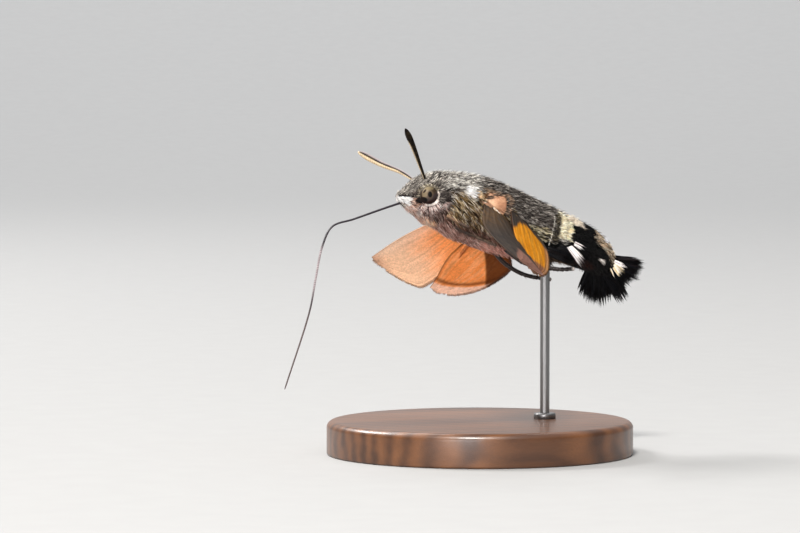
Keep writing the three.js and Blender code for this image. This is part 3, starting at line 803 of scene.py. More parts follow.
# Eyes, each with rings of short scales round it
# Dark spots on the eye, as seen from the side: place to the rear and up, half the size that way and that way
PUPIL = (0.19, 0.0, 0.245, 0.335)
SECOND_SPOT = (-0.37, 0.38, 0.26, 0.11)
BLOTCH = (-0.55, -0.5, 0.46, 0.3)
EYE_FRONT = math.radians(22)
EYE_END = np.pi * 0.62
EYE_ROWS, EYE_COLUMNS = 72, 120


def spot(across, up, place, turn=0.0):
    """1 inside an oval spot, 0 outside it."""
    x, z = across - place[0], up - place[1]
    c, s = math.cos(turn), math.sin(turn)
    return 1 - rise(np.hypot((x * c + z * s) / place[2], (z * c - x * s) / place[3]), 0.82, 1.06)


def make_eye(name, side):
    polar, turn = grid(np.linspace(0.001, EYE_END, EYE_ROWS),
                       np.linspace(0, 2 * np.pi, EYE_COLUMNS, endpoint=False))
    x, z, y = (np.append(v, last) for v, last in (
        (np.sin(polar) * np.cos(turn), [0, 0]), (np.sin(polar) * np.sin(turn), [0, 0]),
        (np.cos(polar), [1, math.cos(EYE_END)])))
    points = (EYE_AT + np.stack([x, y, z], 1) * EYE_RADII) * (1, side, 1)
    across = x * math.cos(EYE_FRONT) + y * math.sin(EYE_FRONT)
    mottled = 0.3 * (noise(points, 0.2, 2) - 0.5)
    halo = (PUPIL[0], PUPIL[1], PUPIL[2] * 1.5, PUPIL[3] * 1.4)
    # Painted shade makes the globe darker to the rear, below and round its edge, and painted light makes it
    # lighter at the upper front; the dark spots go over these.
    base = painted(
        "6b5d49", ("32261b", rise(across + 0.3 * z + mottled, 0.1, 0.65)),
        ("332a2c", 0.9 * rise(0.45 * across - z + mottled, -0.05, 0.4)),
        ("220e0c", rise(0.4 * across - z, 0.55, 0.85)),
        ("766a50", 0.5 * rise(z - 0.2 * across + mottled, 0.35, 0.6)),
        ("4e3f33", 0.55 * spot(across, z, halo)),
        ("20130d", spot(across, z, SECOND_SPOT, math.radians(50))),
        ("050303", spot(across, z, BLOTCH, math.radians(-12))), ("050303", spot(across, z, PUPIL)),
        ("1c0f0c", 0.9 * rise(np.hypot(x, z), 0.84, 0.95)))
    add_piece(f"{name}_globe", points, turned(ring_faces(EYE_ROWS, EYE_COLUMNS), side), EYE, base,
              stands_for=(name,))


# Rings of scales round the eye. turns are in degrees from the rear, start is off the eye's middle, a length
# below 0 points inward, sweep bends the scales back.
EyeRing = namedtuple("EyeRing", "turns start length tones count lift sweep width")
EYE_RINGS = (
    EyeRing((-128, -30), 1.0, 1.2, "f6e6e0*4 b8968f*4 4c3835*5", 620, 0.1, 0.25, 0.06),
    EyeRing((-40, 60), 1.0, 0.8, "4a433f*4 201b1a*4 9a9188*2", 300, 0.1, 0.1, 0.075),
    EyeRing((-112, -40), 0.84, 0.36, "fff6f0*6 d9c0b8*3", 190, 0.09, 0.0, 0.07),
    EyeRing((-42, 48), 0.86, 0.12, "f4e8df*5 b5a498*4", 110, 0.05, 0.0, 0.055),
    EyeRing((30, 152), 1.3, -0.5, "a89c84*4 6a5f50*3 1d1612*5 d6cdbb*2", 420, 0.17, 0.0, 0.075),
    EyeRing((150, 205), 1.4, -0.52, "7d7262*3 241c18*5 d9ccb8*2", 220, 0.12, 0.0, 0.075),
    EyeRing((188, 224), 1.5, -0.6, "0d0808*6 2a201c*1", 260, 0.12, 0.0, 0.085),
)


def at_side(x, z, side):
    """Station and turn of the body outline's place with this x and z, on one side."""
    s, fall = np.full(x.shape, 3.1), np.full(x.shape, np.pi / 2)
    for _ in range(6):
        point = body(s, -side * fall)[0]
        back, down = per_step(s, -side * fall)
        s = np.clip(s + (x - point[..., 0]) / back, 0, 7)
        fall = np.clip(fall + (point[..., 2] - z) / down, 0.1, 3.0)
    return s, -side * fall


def make_eye_rings(name, side):
    parts = []
    for ring in EYE_RINGS:
        turn = np.radians(rng.uniform(*ring.turns, ring.count))
        t = np.linspace(0, 1, TUFT_STEPS)
        start = ring.start + rng.normal(0, 0.03, ring.count)
        length = ring.length * rng.uniform(0.75, 1.15, ring.count)
        away = start[:, None] + length[:, None] * t
        swept = turn[:, None] + rng.normal(0, 0.06, ring.count)[:, None] * t
        x = EYE_AT[0] + away * np.cos(swept) + ring.sweep * t ** 2
        s, a = at_side(x, EYE_AT[2] + away * np.sin(swept), side)
        parts.append(standing_scales(ring, s, a, 0.6, 0.5, lambda: (
            rng.random(ring.count), (turn + np.pi) / (3 * np.pi))))
    add_tufts(f"{name}_scales", parts, COAT)


# Feelers: dark above, cream below, in fine rings, thickening to a club with a rounded tip
FEELER_POINTS = {
    "left": [(-6.5, -1.15, 2.6), (-7.6, -2.5, 4.1), (-9.1, -4.5, 5.9), (-10.6, -6.5, 7.3)],
    "right": [(-6.65, 1.2, 2.7), (-7.4, 3.0, 3.84), (-8.62, 5.6, 5.04), (-10.05, 8.3, 6.65)],
}
FEELER_RINGS, FEELER_SIDES = 58, 20
# Way that each feeler's cream side faces, where the cream starts, where a pale line opposite starts, where
# along the feeler the cream ends, radius at the root and at the club, how pale and how pointed the tip is
FeelerLook = namedtuple("FeelerLook", "face cream line end root club tip blunt")
FEELER_LOOKS = {
    "left": FeelerLook((-0.93, 0.37, 0.0), (0.38, 0.55), (2, 3), (0.68, 0.8), 0.13, 0.32, 0.0, 0.65),
    "right": FeelerLook((-0.3, 0.0, -0.95), (0.08, 0.22), (0.56, 0.7), (2, 3), 0.14, 0.36, 0.8, 0.5),
}
CLUB_START = 0.8
NOTCH_DEPTH = 0.09


def make_feeler(side):
    path = Curve(FEELER_POINTS[side])
    look = FEELER_LOOKS[side]

    def radius(t):
        shaft = mix(look.root, look.club, (t / CLUB_START).clip(0, 1) ** 0.9)
        notch = 1 - NOTCH_DEPTH * np.abs(np.cos(np.pi * t * FEELER_RINGS)) ** 6
        return shaft * rounded(t, CLUB_START, 0.02, look.blunt) * notch

    points, faces, t, _, place = tube(path, radius, FEELER_RINGS * 6, FEELER_SIDES, 0.995)
    forward = unit(points - path.even(t) + 1e-9) @ np.array(look.face)
    base = painted("130d0b", ("3a2f1b", 0.6 * rise(noise(points, 0.3, 4), 0.3, 0.8)),
                   ("e0c9a6", rise(forward, *look.cream) * (1 - rise(t, *look.end))),
                   ("b0a4a6", 0.8 * rise(-forward, *look.line)), ("e0c9a6", look.tip * rise(t, 0.96, 0.985)))
    add_piece(f"feeler_{side}", points, faces, FEELER, base, place, stands_for=(f"antenna_{side}",))


# Proboscis: two half tubes side by side, dark, with a pale ringed stretch at the bend
PROBOSCIS_POINTS = [
    (-8.2, 0, 0.55), (-10.9, 0, -0.24), (-14.2, 0, -1.27), (-16.6, 0, -2.0),
    (-17.75, 0, -3.9), (-18.7, 0, -7.3), (-19.5, 0, -10.5), (-22.7, 0, -18.6),
]
PROBOSCIS_RADII = (0.14, 0.075)
PROBOSCIS_RINGS, PROBOSCIS_STEPS, PROBOSCIS_SIDES = 150, 620, 18
GROOVE_DEPTH = 0.16


def make_proboscis():
    path = Curve(PROBOSCIS_POINTS)

    def radius(t):
        return mix(*PROBOSCIS_RADII, t ** 0.8) * rounded(t, 0.97, 0.05)

    points, faces, t, angle, place = tube(path, radius, PROBOSCIS_STEPS, PROBOSCIS_SIDES, 0.998)
    groove = GROOVE_DEPTH * np.exp(-((np.cos(angle) / 0.25) ** 2))
    points = mix(points, path.even(t), groove[:, None])
    rings = rise(np.sin(t * 2 * np.pi * PROBOSCIS_RINGS), -0.2, 0.5)
    bend = rise(t, 0.40, 0.45) * (1 - rise(t, 0.56, 0.66))
    base = painted("17101a", ("4a3547", 0.6 * rise(np.sin(angle), 0.2, 0.9)),
                   ("b5a6a8", bend * (0.35 + 0.5 * rings)), ("5c4a46", 0.6 * rise(t, 0.6, 0.75)))
    add_piece("proboscis", points, faces, HORN, base, place,
              stands_for=("proboscis_base", "proboscis_middle", "proboscis_tip"))


# Legs: thigh, shin and five toe lengths, with spurs and spines
LEG_LIFT = -0.04
# Folded legs: first and last station, first and last fall, how pale they are along, tones
FOLDED = {
    "foreleg": (4.9, 6.2, 128, 132.5, lambda t: 1 - rise(t, 0.45, 0.6), ("2c1f18", "5e4736", "86684f")),
    "midleg": (5.7, 7.8, 142, 150, lambda t: 0.25 * rise(t, 0.3, 0.6), ("1f1512", "4a382c", "b59c86")),
}
HIND_POINTS = {
    "left": [(2.0, -1.5, -4.9), (3.8, -1.9, -6.3), (6.16, -2.0, -6.85), (7.7, -2.2, -7.09),
             (9.3, -2.4, -7.07)],
    "right": [(1.9, 1.3, -4.9), (3.01, 1.4, -6.0), (4.35, 1.5, -6.85), (5.62, 1.6, -7.35),
              (8.45, 1.8, -7.83)],
}
LEG_JOINTS = (0.28, 0.55, 0.7, 0.79, 0.86, 0.92)
LEG_STEPS, LEG_SIDES = 200, 14
SPINES = 420
SPINE_WIDTH, SPUR_WIDTH = 0.05, 0.09
SPURS = np.array([0.53, 0.54, 0.68, 0.69])
SPUR_LENGTHS = np.array([0.7, 0.5, 0.6, 0.45])


def leg_radius(t):
    """Thick thigh and shin, thin toes, pinched at each joint."""
    r = mix(0.23, 0.21, rise(t, 0.15, 0.85))
    for joint in LEG_JOINTS:
        r = r * (1 - 0.28 * np.exp(-((t - joint) / 0.008) ** 2))
        r = r * (1 + 0.12 * np.exp(-((t - joint + 0.02) / 0.015) ** 2))
    return r * rounded(t, 0.985, 0.1)


def spikes(path, shares, length, tilt, width):
    """Paths of short spikes that stand off a leg, leaning towards its tip."""
    along = path.along(shares)
    turn = rng.uniform(0, 2 * np.pi, len(shares))
    side, up = square_to(along)
    outward = side * np.cos(turn)[:, None] + up * np.sin(turn)[:, None]
    start = path.even(shares) + outward * (leg_radius(shares) * 0.7)[:, None]
    t = np.linspace(0, 1, TUFT_STEPS)[None, :, None]
    paths = start[:, None] + unit(along + outward * tilt)[:, None] * length[:, None, None] * t
    return paths, np.repeat(outward[:, None], TUFT_STEPS, 1), np.full(len(shares), width)


def make_leg(name, path, pale_tip, tones):
    points, faces, t, _, place = tube(path, leg_radius, LEG_STEPS, LEG_SIDES)
    dark, brown, pale = tones
    base = painted(dark, (brown, 0.7 * noise(points, 0.2, 8)),
                   (pale, pale_tip(t) * rise(noise(points, 0.12, 9), 0.25, 0.6)))
    add_piece(f"{name}_segments", points, faces, HORN, base, place, stands_for=(name,))
    shares = rng.uniform(0.04, 0.97, SPINES)
    spines = spikes(path, shares, rng.uniform(0.12, 0.3, SPINES), 0.35, SPINE_WIDTH)
    spurs = spikes(path, SPURS, SPUR_LENGTHS, 0.5, SPUR_WIDTH)
    paths, facing, width = (np.concatenate(pair) for pair in zip(spines, spurs))
    shares = np.append(shares, SPURS)
    colour = painted(dark, (pale, 0.15 + 0.75 * pale_tip(shares) * rng.random(len(shares))))
    roots = np.stack([shares, rng.random(len(shares))], 1)
    made = tufts(paths, facing, width, np.repeat(colour[:, None], TUFT_STEPS, 1), roots)
    add_tufts(f"{name}_spines", [made], COAT)


def make_legs():
    for side, sign in SIDES.items():
        for kind, (start, end, high, low, pale_tip, tones) in FOLDED.items():
            t = np.linspace(0, 1, 7)
            path = Curve(body(mix(start, end, t), -sign * np.radians(mix(high, low, t)), LEG_LIFT)[0])
            make_leg(f"{kind}_{side}", path, pale_tip, tones)
        make_leg(f"hindleg_{side}", Curve(HIND_POINTS[side]), lambda t: 0.8 * rise(t, 0.94, 0.98),
                 ("100a0b", "2c201c", "e8dcd4"))


# Wings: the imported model's own surfaces with thin membranes, veins and scales
TORNUS, ANAL_CORNER = 0.72, 0.28
TRAIL_START, TIP_CURVE, HINDWING_END = 0.01, 1.5, 1.02


def lead_edge(bulge, shift=1.0, drop=0.0):
    """How far a wing's front edge is ahead of its chord line, at shares of the length."""
    return lambda t: bulge * np.sin(np.pi * t ** shift) - drop * rise(t, 0.45, 1.0)


def trail_edge(root, widest, corner, outer):
    """How far a wing's rear edge is behind its chord line. outer is its course past the corner."""
    def trail(t):
        inner = mix(root, widest, np.sin(0.5 * np.pi * np.minimum(t, corner) / corner))
        return TRAIL_START + np.where(t < corner, inner, widest * outer(np.maximum(t - corner, 0)))
    return trail


def forewing_trail(root, widest):
    return trail_edge(root, widest, TORNUS, lambda past: 1 - (past / (1 - TORNUS)) ** TIP_CURVE)


def hindwing_trail(root, widest):
    end = HINDWING_END - ANAL_CORNER
    return trail_edge(root, widest, ANAL_CORNER, lambda past: np.sqrt(np.clip(1 - (past / end) ** 2, 0, 1)))


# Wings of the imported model: side, length, edges, camber, how far it bows up and tilts over its length, its
# hinge, and the ways of its length and its chord
Wing = namedtuple("Wing", "side length lead trail camber bow tilt hinge span chord")
WINGS = {
    "forewing_left": Wing(LEFT, 18.5, lead_edge(0.1, 1.3), forewing_trail(0.22, 0.25), 0.07, -0.5, 0,
                          (-1.1, -3.5, -0.28), (-0.198, -0.898, -0.394), (0.812, 0.074, -0.579)),
    "forewing_right": Wing(RIGHT, 18.5, lead_edge(0.03), forewing_trail(0.14, 0.275), 0.05, -0.4, 0,
                           (-0.74, 3.5, -0.28), (-0.181, 0.968, -0.172), (0.568, -0.04, -0.822)),
    "hindwing_left": Wing(LEFT, 11.2, lead_edge(0.03, 1.0, 0.07), hindwing_trail(0.17, 0.41), 0.04, 0, 0.08,
                          (2.0, -3.3, -0.75), (-0.281, -0.72, -0.635), (0.803, 0.187, -0.566)),
    "hindwing_right": Wing(RIGHT, 11.2, lead_edge(0.03, 1.0, 0.07), hindwing_trail(0.2, 0.48), 0.04, 0, -0.06,
                           (1.5, 3.3, -2.15), (-0.246, 0.881, -0.405), (0.839, -0.016, -0.544)),
}


def wing_point(w, t, share, offset):
    """Point of a wing's surface, the way out of its upper side, and how far it is behind the chord line."""
    outward = unit(np.array(w.span))
    rearward = unit(np.array(w.chord) - outward * (np.array(w.chord) @ outward))
    dorsal = np.cross(outward, rearward) * -w.side
    spread = np.maximum(t, 0)
    front, back = -w.lead(spread) * w.length, w.trail(spread) * w.length
    across = mix(front, back, share)
    height = w.camber * (back - front) * 4 * share * (1 - share) + w.bow * np.sin(np.pi * spread)
    height = height + offset + w.tilt * t * w.length
    point = (np.array(w.hinge) + outward * (t * w.length)[..., None] + rearward * across[..., None]
             + dorsal * height[..., None])
    return point, np.broadcast_to(dorsal, point.shape), across


VEINS = 9
WING_HALF, COSTA_HALF = 0.035, 0.09
WING_START = -0.07
# Rows and columns of a hindwing and of a forewing
WING_GRIDS = ((96, 66), (120, 60))
FRINGE, FRINGE_COUNT, FRINGE_WIDTH = 0.42, 1500, 0.09
# How far the hindwing's dark root reaches at shares of the chord
DARK_ROOT = ((0.0, 0.4), (0.26, 0.18), (0.49, 0.16), (1.0, 0.3))
# Dark rim of each wing's underside, painted shade that is strongest on the left wings: share of the chord
# that it takes in front, tone, strength
EDGE_SHADES = {
    "forewing_left": (0.08, "241a15", 0.95), "forewing_right": (0.03, "3a2c24", 0.25),
    "hindwing_left": (0.05, "26180e", 0.95), "hindwing_right": (0.03, "4a2f1a", 0.6),
}


def vein_share(k, t, fore):
    """Where vein k runs, as a share of the chord."""
    root = mix(0.12, 0.62, k / (VEINS - 1))
    end = (k + 0.5) / VEINS
    return mix(root, end, rise(t, 0.02, 0.55 if fore else 0.8))


def forewing_upper(t, share, speckle):
    waves = [("1d1817", 0.3 * np.exp(-((t - (at + 0.02 * np.sin(share * 14) + 0.03 * share)) / 0.012) ** 2))
             for at in (0.34, 0.4, 0.6, 0.68)]
    # The dark front edge, 120d0b, is painted shade along the costa.
    return painted(
        "352d27", ("2a2421", rise(speckle, 0.3, 0.8)), *waves,
        ("7a5549", 0.85 * rise(t + 1.1 * share, 1.16, 1.26) * rise(t, 0.6, 0.66)),
        ("120d0b", 0.8 * (1 - rise(share, 0.0, 0.05))),
        ("4d3a26", 0.8 * rise(speckle, 0.2, 0.7) * (1 - rise(t + 0.6 * share, 0.3, 0.75))))


def forewing_under(t, share, streak, front, shade_tone, strength):
    edge = (share < front) | (share > 0.988) | (t > 0.975)
    # The last coat is the dark rim, painted shade along the wing's front, hind and outer edges.
    return painted(
        "fb9a58", ("f9c8a2", rise(t + 0.16 * (streak - 0.5), 0.25, 0.7)),
        ("c47a46", 0.55 * rise(streak, 0.55, 0.8) * (1 - rise(t, 0.5, 0.8))),
        ("f3cfb4", 0.6 * (1 - rise(share, 0.0, 0.35))), ("b98a72", 0.6 * rise(t, 0.86, 0.97)),
        (shade_tone, strength * edge))


def hindwing_upper(t, share, streak):
    start = np.interp(share, *zip(*DARK_ROOT)) + 0.08 * (streak - 0.5)
    return painted(
        "aa6a0b", ("b87d20", rise(streak, 0.35, 0.75)),
        ("74430e", 0.6 * rise(streak, 0.6, 0.8) * (1 - rise(t, 0.7, 0.9))),
        ("664338", 0.9 * rise(t + 0.09 * share, 0.76, 0.84)), ("865d3a", 0.8 * rise(share, 0.86, 0.96)),
        ("a27c60", 0.6 * np.maximum(rise(t, 0.95, 0.98), rise(share, 0.975, 0.99))),
        ("2c2622", 1 - rise(t, start - 0.05, start + 0.03)))


def hindwing_under(t, share, streak, front, shade_tone, strength):
    outer = t ** 3 + 0.57 * share ** 3
    # The last coat is the dark rim, painted shade along the wing's front edge.
    return painted(
        "f39350", ("ffab70", rise(streak, 0.35, 0.75)),
        ("c8783a", 0.6 * rise(streak, 0.6, 0.8) * (1 - rise(t, 0.7, 0.9))),
        ("5e2f12", 0.75 * np.exp(-((outer - 0.6) / 0.06) ** 2)),
        ("4f260c", 0.92 * rise(share, 0.3, 0.4) * (1 - rise(t - 0.6 * share, -0.02, 0.01))),
        ("f8cdb4", 0.9 * rise(outer, 0.68, 0.76)), (shade_tone, strength * (share < front)))


def wing_colours(name, t, share, upper, points):
    fore = name.startswith("fore")
    streak = noise(np.stack([t * 3, share * 26, 0 * t], 1), 1.0, 7)
    if upper:
        base = forewing_upper(t, share, noise(points, 0.5, 11)) if fore else hindwing_upper(t, share, streak)
    else:
        base = (forewing_under if fore else hindwing_under)(t, share, streak, *EDGE_SHADES[name])
    ridge = np.zeros(len(t))
    for k in range(VEINS):
        ridge = np.maximum(ridge, np.exp(-((share - vein_share(k, t, fore)) / 0.014) ** 2))
    return mix(base, base * 0.7, ((0.5 if upper else 0.3) * ridge * rise(t, 0.03, 0.2))[:, None])


def make_wing(name, w):
    fore = name.startswith("fore")
    rows, columns = WING_GRIDS[fore]
    t, share = grid(np.linspace(WING_START, 0.985, rows), np.linspace(0, 1, columns))
    relief = np.zeros(len(t))
    for k in range(VEINS):
        away = (share - vein_share(k, t, fore)) * (w.lead(t.clip(0)) + w.trail(t.clip(0))) * w.length
        relief += 0.035 * np.exp(-(away / 0.05) ** 2) + 0.02 * (-1) ** k * np.exp(-(away / 0.16) ** 2)
    costa = COSTA_HALF * (1 - rise(share, 0.0, 0.06)) * (1 - 0.6 * t)
    half = WING_HALF * (1 - 0.6 * rise(share, 0.9, 1.0)) + costa
    sides, colours, places = [], [], []
    for sign in (1, -1):
        points, _, across = wing_point(w, t, share, sign * half + relief)
        sides.append(points)
        colours.append(wing_colours(name, t, share, sign > 0, points))
        places.append(np.stack([t * w.length, across, 0 * t + sign], 1))
    add_piece(f"{name}_membrane", np.vstack(sides), sheet_faces(rows, columns, w.side), WING,
              np.vstack(colours), np.vstack(places), stands_for=(name,))


def make_fringe(name, w):
    """Scales that stand out past the hind and outer margins."""
    t = rng.uniform(0.04, 0.985, FRINGE_COUNT)
    layer = rng.uniform(-1, 1, FRINGE_COUNT)
    share = np.where(t > 0.93, rng.uniform(0.3, 1, FRINGE_COUNT), 1.0)
    start = wing_point(w, t, share * 0.985, layer * 0.02)[0]
    e = 1e-3
    before = wing_point(w, t - e, share, 0 * t)[0]
    after, dorsal, _ = wing_point(w, np.minimum(t + e, 1), share, 0 * t)
    outward = unit(np.cross(unit(after - before), dorsal))
    outward = outward * np.sign((outward * np.array(w.chord)).sum(-1, keepdims=True))
    outward = unit(outward + unit(np.array(w.span)) * (0.3 + 1.2 * rise(t, 0.85, 0.985))[:, None])
    length = FRINGE * rng.uniform(0.6, 1.1, FRINGE_COUNT)
    reach = outward * length[:, None] + dorsal * (layer * 0.02)[:, None]
    paths = start[:, None] + reach[:, None] * np.linspace(0, 1, 3)[None, :, None]
    colours = wing_colours(name, t, share * 0.97, w.side == LEFT, start)
    colours = mix(colours, tone("5a483c"), 0.5 * rng.random(FRINGE_COUNT)[:, None])
    facing, colours = (np.repeat(v[:, None], 3, 1) for v in (dorsal, colours))
    roots = np.stack([t, 0.5 + 0.45 * layer], 1)
    made = tufts(paths, facing, np.full(FRINGE_COUNT, FRINGE_WIDTH), colours, roots)
    add_tufts(f"{name}_fringe", [made], COAT)


# Smooth shield of scales over each forewing's root. Corners are (station, fall): front, top rear, low rear
# and low front.
SHIELD = ((6.6, 78), (7.38, 57), (7.54, 92), (6.93, 89))
SHIELD_SIZE = 44
SHIELD_DOME = 0.3


def make_shield(name, side):
    v, u = grid(*[np.linspace(0, 1, SHIELD_SIZE)] * 2)
    corners = np.array(SHIELD)
    ahead = mix(corners[0], corners[3], v[:, None])
    behind = mix(corners[1], corners[2], v[:, None])
    s, fall = mix(ahead, behind, u[:, None]).T
    s, fall = s + 0.05 * np.sin(np.pi * v) * u, fall - 4 * np.sin(np.pi * u) * (1 - v)
    dome = np.sqrt(np.clip(16 * u * (1 - u) * v * (1 - v), 0, 1))
    around = -side * np.radians(fall)
    heights = (SHIELD_DOME * dome - 0.12, 0 * dome - 0.2)
    upper, lower = (body(s, around, coat_top(s, around) + height)[0] for height in heights)
    # Lighter at the front and darker at the rear edge; darker along the upper edge as painted shade under the
    # fur that arches over it.
    base = painted("b58a6c", ("9c7056", rise(0.6 * u + 0.5 * noise(upper, 0.5, 6), 0.3, 0.9)),
                   ("c9a688", 0.8 * (1 - rise(u, 0.0, 0.45))), ("5c483c", 0.8 * rise(u, 0.84, 1.0)),
                   ("5c483c", 0.8 * (1 - rise(v, 0.0, 0.16))))
    place = np.stack([u * 2.2, v * 2.0, 0 * u], 1)
    faces = sheet_faces(SHIELD_SIZE, SHIELD_SIZE, side)
    add_piece(f"wing_shield_{name}", np.vstack([upper, lower]), faces, WING,
              np.vstack([base, base]), np.vstack([place, place]))


# Tail fan and side tufts: bundles of long flat hairs that widen from a root to a ragged tip
Bundle = namedtuple("Bundle", "root tip wide thick count tones width")
BLACK_HAIR = "050406*6 0b0c11*3 161011*1"
WHITE_HAIR = "fffcf8*6 cfc4c6*2 8a8084*1"
CREAM_HAIR = "fff6e6*4 e2cfa4*3"
FAN_FACE = (0.4, 0.79, 0.47)
FLANK_FACE = (-0.4, 0.9, 0.3)
FAN_WHITE = (
    Bundle((15.0, -0.1, -6.18), (16.4, -0.4, -6.92), 0.2, 0.1, 84, WHITE_HAIR, 0.09),
    Bundle((15.0, 0.0, -6.5), (16.15, -0.1, -7.42), 0.26, 0.1, 84, CREAM_HAIR, 0.075),
    Bundle((14.95, 0.1, -6.8), (15.8, 0.0, -7.9), 0.2, 0.1, 63, CREAM_HAIR, 0.075),
    Bundle((14.6, 0.2, -6.9), (15.0, 0.1, -8.0), 0.12, 0.08, 28, CREAM_HAIR, 0.07),
)
FAN_BLACK = tuple(Bundle(root, tip, wide, 0.5, 620, BLACK_HAIR, 0.12) for root, tip, wide in (
    ((14.7, 1.2, -6.0), (18.95, 0.35, -6.7), 0.72), ((14.8, 1.3, -6.2), (18.6, 0.8, -7.8), 0.85),
    ((14.7, 1.5, -6.4), (17.5, 1.6, -8.8), 0.8), ((14.5, 1.8, -6.4), (17.1, 2.25, -10.5), 0.85),
    ((14.2, 2.0, -6.4), (15.0, 3.3, -10.8), 0.95), ((13.9, 2.2, -6.3), (13.75, 4.0, -10.5), 0.9),
    ((13.7, 2.3, -6.2), (13.0, 4.4, -9.6), 0.7)))
SIDE_BUNDLES = (
    Bundle((5.9, -2.45, -4.9), (9.2, -3.3, -6.6), 0.55, 0.35, 420, BLACK_HAIR, 0.1),
    Bundle((7.3, -2.4, -4.6), (9.9, -3.1, -6.2), 0.55, 0.3, 300, BLACK_HAIR, 0.1),
    *(Bundle((8.6 + k * 0.2, -2.95, -4.8 + k * 0.06), (9.9 + k * 0.23, -3.75, -6.85 + k * 0.4),
             0.13, 0.08, 42, WHITE_HAIR, 0.075) for k in (-1.0, -0.35, 0.3, 1.0)),
    *(Bundle((9.19 + k * 0.06, -2.95, -4.48 + k * 0.16), (10.3 + k * 0.14, -3.3, -5.26 + k * 0.24),
             0.08, 0.06, 28, WHITE_HAIR, 0.075) for k in (-1, 0, 1)),
)
HAIRS_IN_STRAND = 7
STRAND_SPREAD = 0.16
FAN_STEPS = 5


def bundle_hairs(bundle, face):
    """A bundle's tufts: strands that fan out from the root, each drawn together towards its own tip."""
    start, end = np.array(bundle.root), np.array(bundle.tip)
    along = unit(end - start)
    side = unit(np.cross(np.array(face), along))
    up = np.cross(along, side)
    strands = max(bundle.count // HAIRS_IN_STRAND, 1)
    count = strands * HAIRS_IN_STRAND
    v, w = (np.repeat(rng.uniform(-1, 1, strands), HAIRS_IN_STRAND) for _ in range(2))
    reach = np.repeat(rng.uniform(0.62, 1.0, strands), HAIRS_IN_STRAND) * (1 - 0.12 * v ** 2)
    reach = reach * rng.uniform(0.9, 1.04, count)
    loose = rng.normal(0, STRAND_SPREAD, (2, count, 1))
    even = np.linspace(0, 1, FAN_STEPS)
    t = even * reach[:, None]
    swell = 0.35 + 0.65 * np.sin(np.pi * 0.55 * t)
    inward = 1 - 0.85 * (t / reach[:, None]) ** 2
    lateral = bundle.wide * (v[:, None] * swell + loose[0] * inward)
    height = bundle.thick * (w[:, None] * swell + loose[1] * inward)
    paths = (start + along * (t * np.linalg.norm(end - start))[..., None]
             + side * lateral[..., None] + up * height[..., None])
    facing = np.where(w[:, None, None] < 0, -up, up) * np.ones((1, FAN_STEPS, 1))
    shared = np.repeat(draw_tones(bundle.tones, strands), HAIRS_IN_STRAND, 0)
    # Painted shade: each strand's hairs are darker toward the root
    colours = shared[:, None] * mix(0.7, 1.0, even)[None, :, None]
    width = bundle.width * rng.uniform(0.75, 1.2, count)
    return tufts(paths, facing, width, colours, np.stack([(v + 1) / 2, (w + 1) / 2], 1))


def make_fan():
    fan = add_tufts("tail_fan_vanes", [bundle_hairs(b, FAN_FACE) for b in FAN_BLACK], BLACK_COAT)
    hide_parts("tail_fan")
    add_tufts("tail_fan_white", [bundle_hairs(b, FAN_FACE) for b in FAN_WHITE], COAT)


def other_side(point):
    """The same place on the moth's right flank."""
    middle = np.interp(point[0], STATIONS[:, 0], STATIONS[:, 2])
    return point[0], 2 * middle - point[1], point[2]


def make_side_tufts():
    for side, sign in SIDES.items():
        bundles = [b if sign == LEFT else b._replace(root=other_side(b.root), tip=other_side(b.tip))
                   for b in SIDE_BUNDLES]
        for name, tones, finish in (("black", BLACK_HAIR, BLACK_COAT), ("white", WHITE_HAIR, COAT)):
            parts = [bundle_hairs(b, FLANK_FACE) for b in bundles if b.tones == tones]
            add_tufts(f"side_tufts_{name}_{side}", parts, finish)


# Display stand: turned walnut base and steel rod in a small collar
BASE_RADIUS, BASE_HEIGHT, BASE_ROUND, BASE_FOOT = 16.0, 3.5, 0.7, 0.25
BASE_SIDES, COLLAR_SIDES = 192, 48
ROD_AT = (7.2, -0.5)
COLLAR_RADIUS, COLLAR_ROUND, COLLAR_EDGE = 1.15, 0.2, 0.4


def lathe(name, profile, centre, count, finish, stands_for=()):
    """Turned piece: profile is (radius, height) pairs from the lower middle to the upper middle."""
    profile = np.array(profile)
    rings = profile[1:-1]
    angle = np.linspace(0, 2 * np.pi, count, endpoint=False)
    points = np.stack([rings[:, :1] * np.cos(angle), rings[:, :1] * np.sin(angle),
                       np.repeat(rings[:, 1:], count, 1)], -1).reshape(-1, 3)
    points = np.vstack([points, [0, 0, profile[0, 1]], [0, 0, profile[-1, 1]]]) + np.array([*centre, 0])
    add_piece(name, points, ring_faces(len(rings), count), finish, 1.0, stands_for=stands_for,
              in_row=True)


def arc(centre, radius, start, end, steps):
    angle = np.radians(np.linspace(start, end, steps))
    return [(centre[0] + radius * math.cos(k), centre[1] + radius * math.sin(k)) for k in angle]


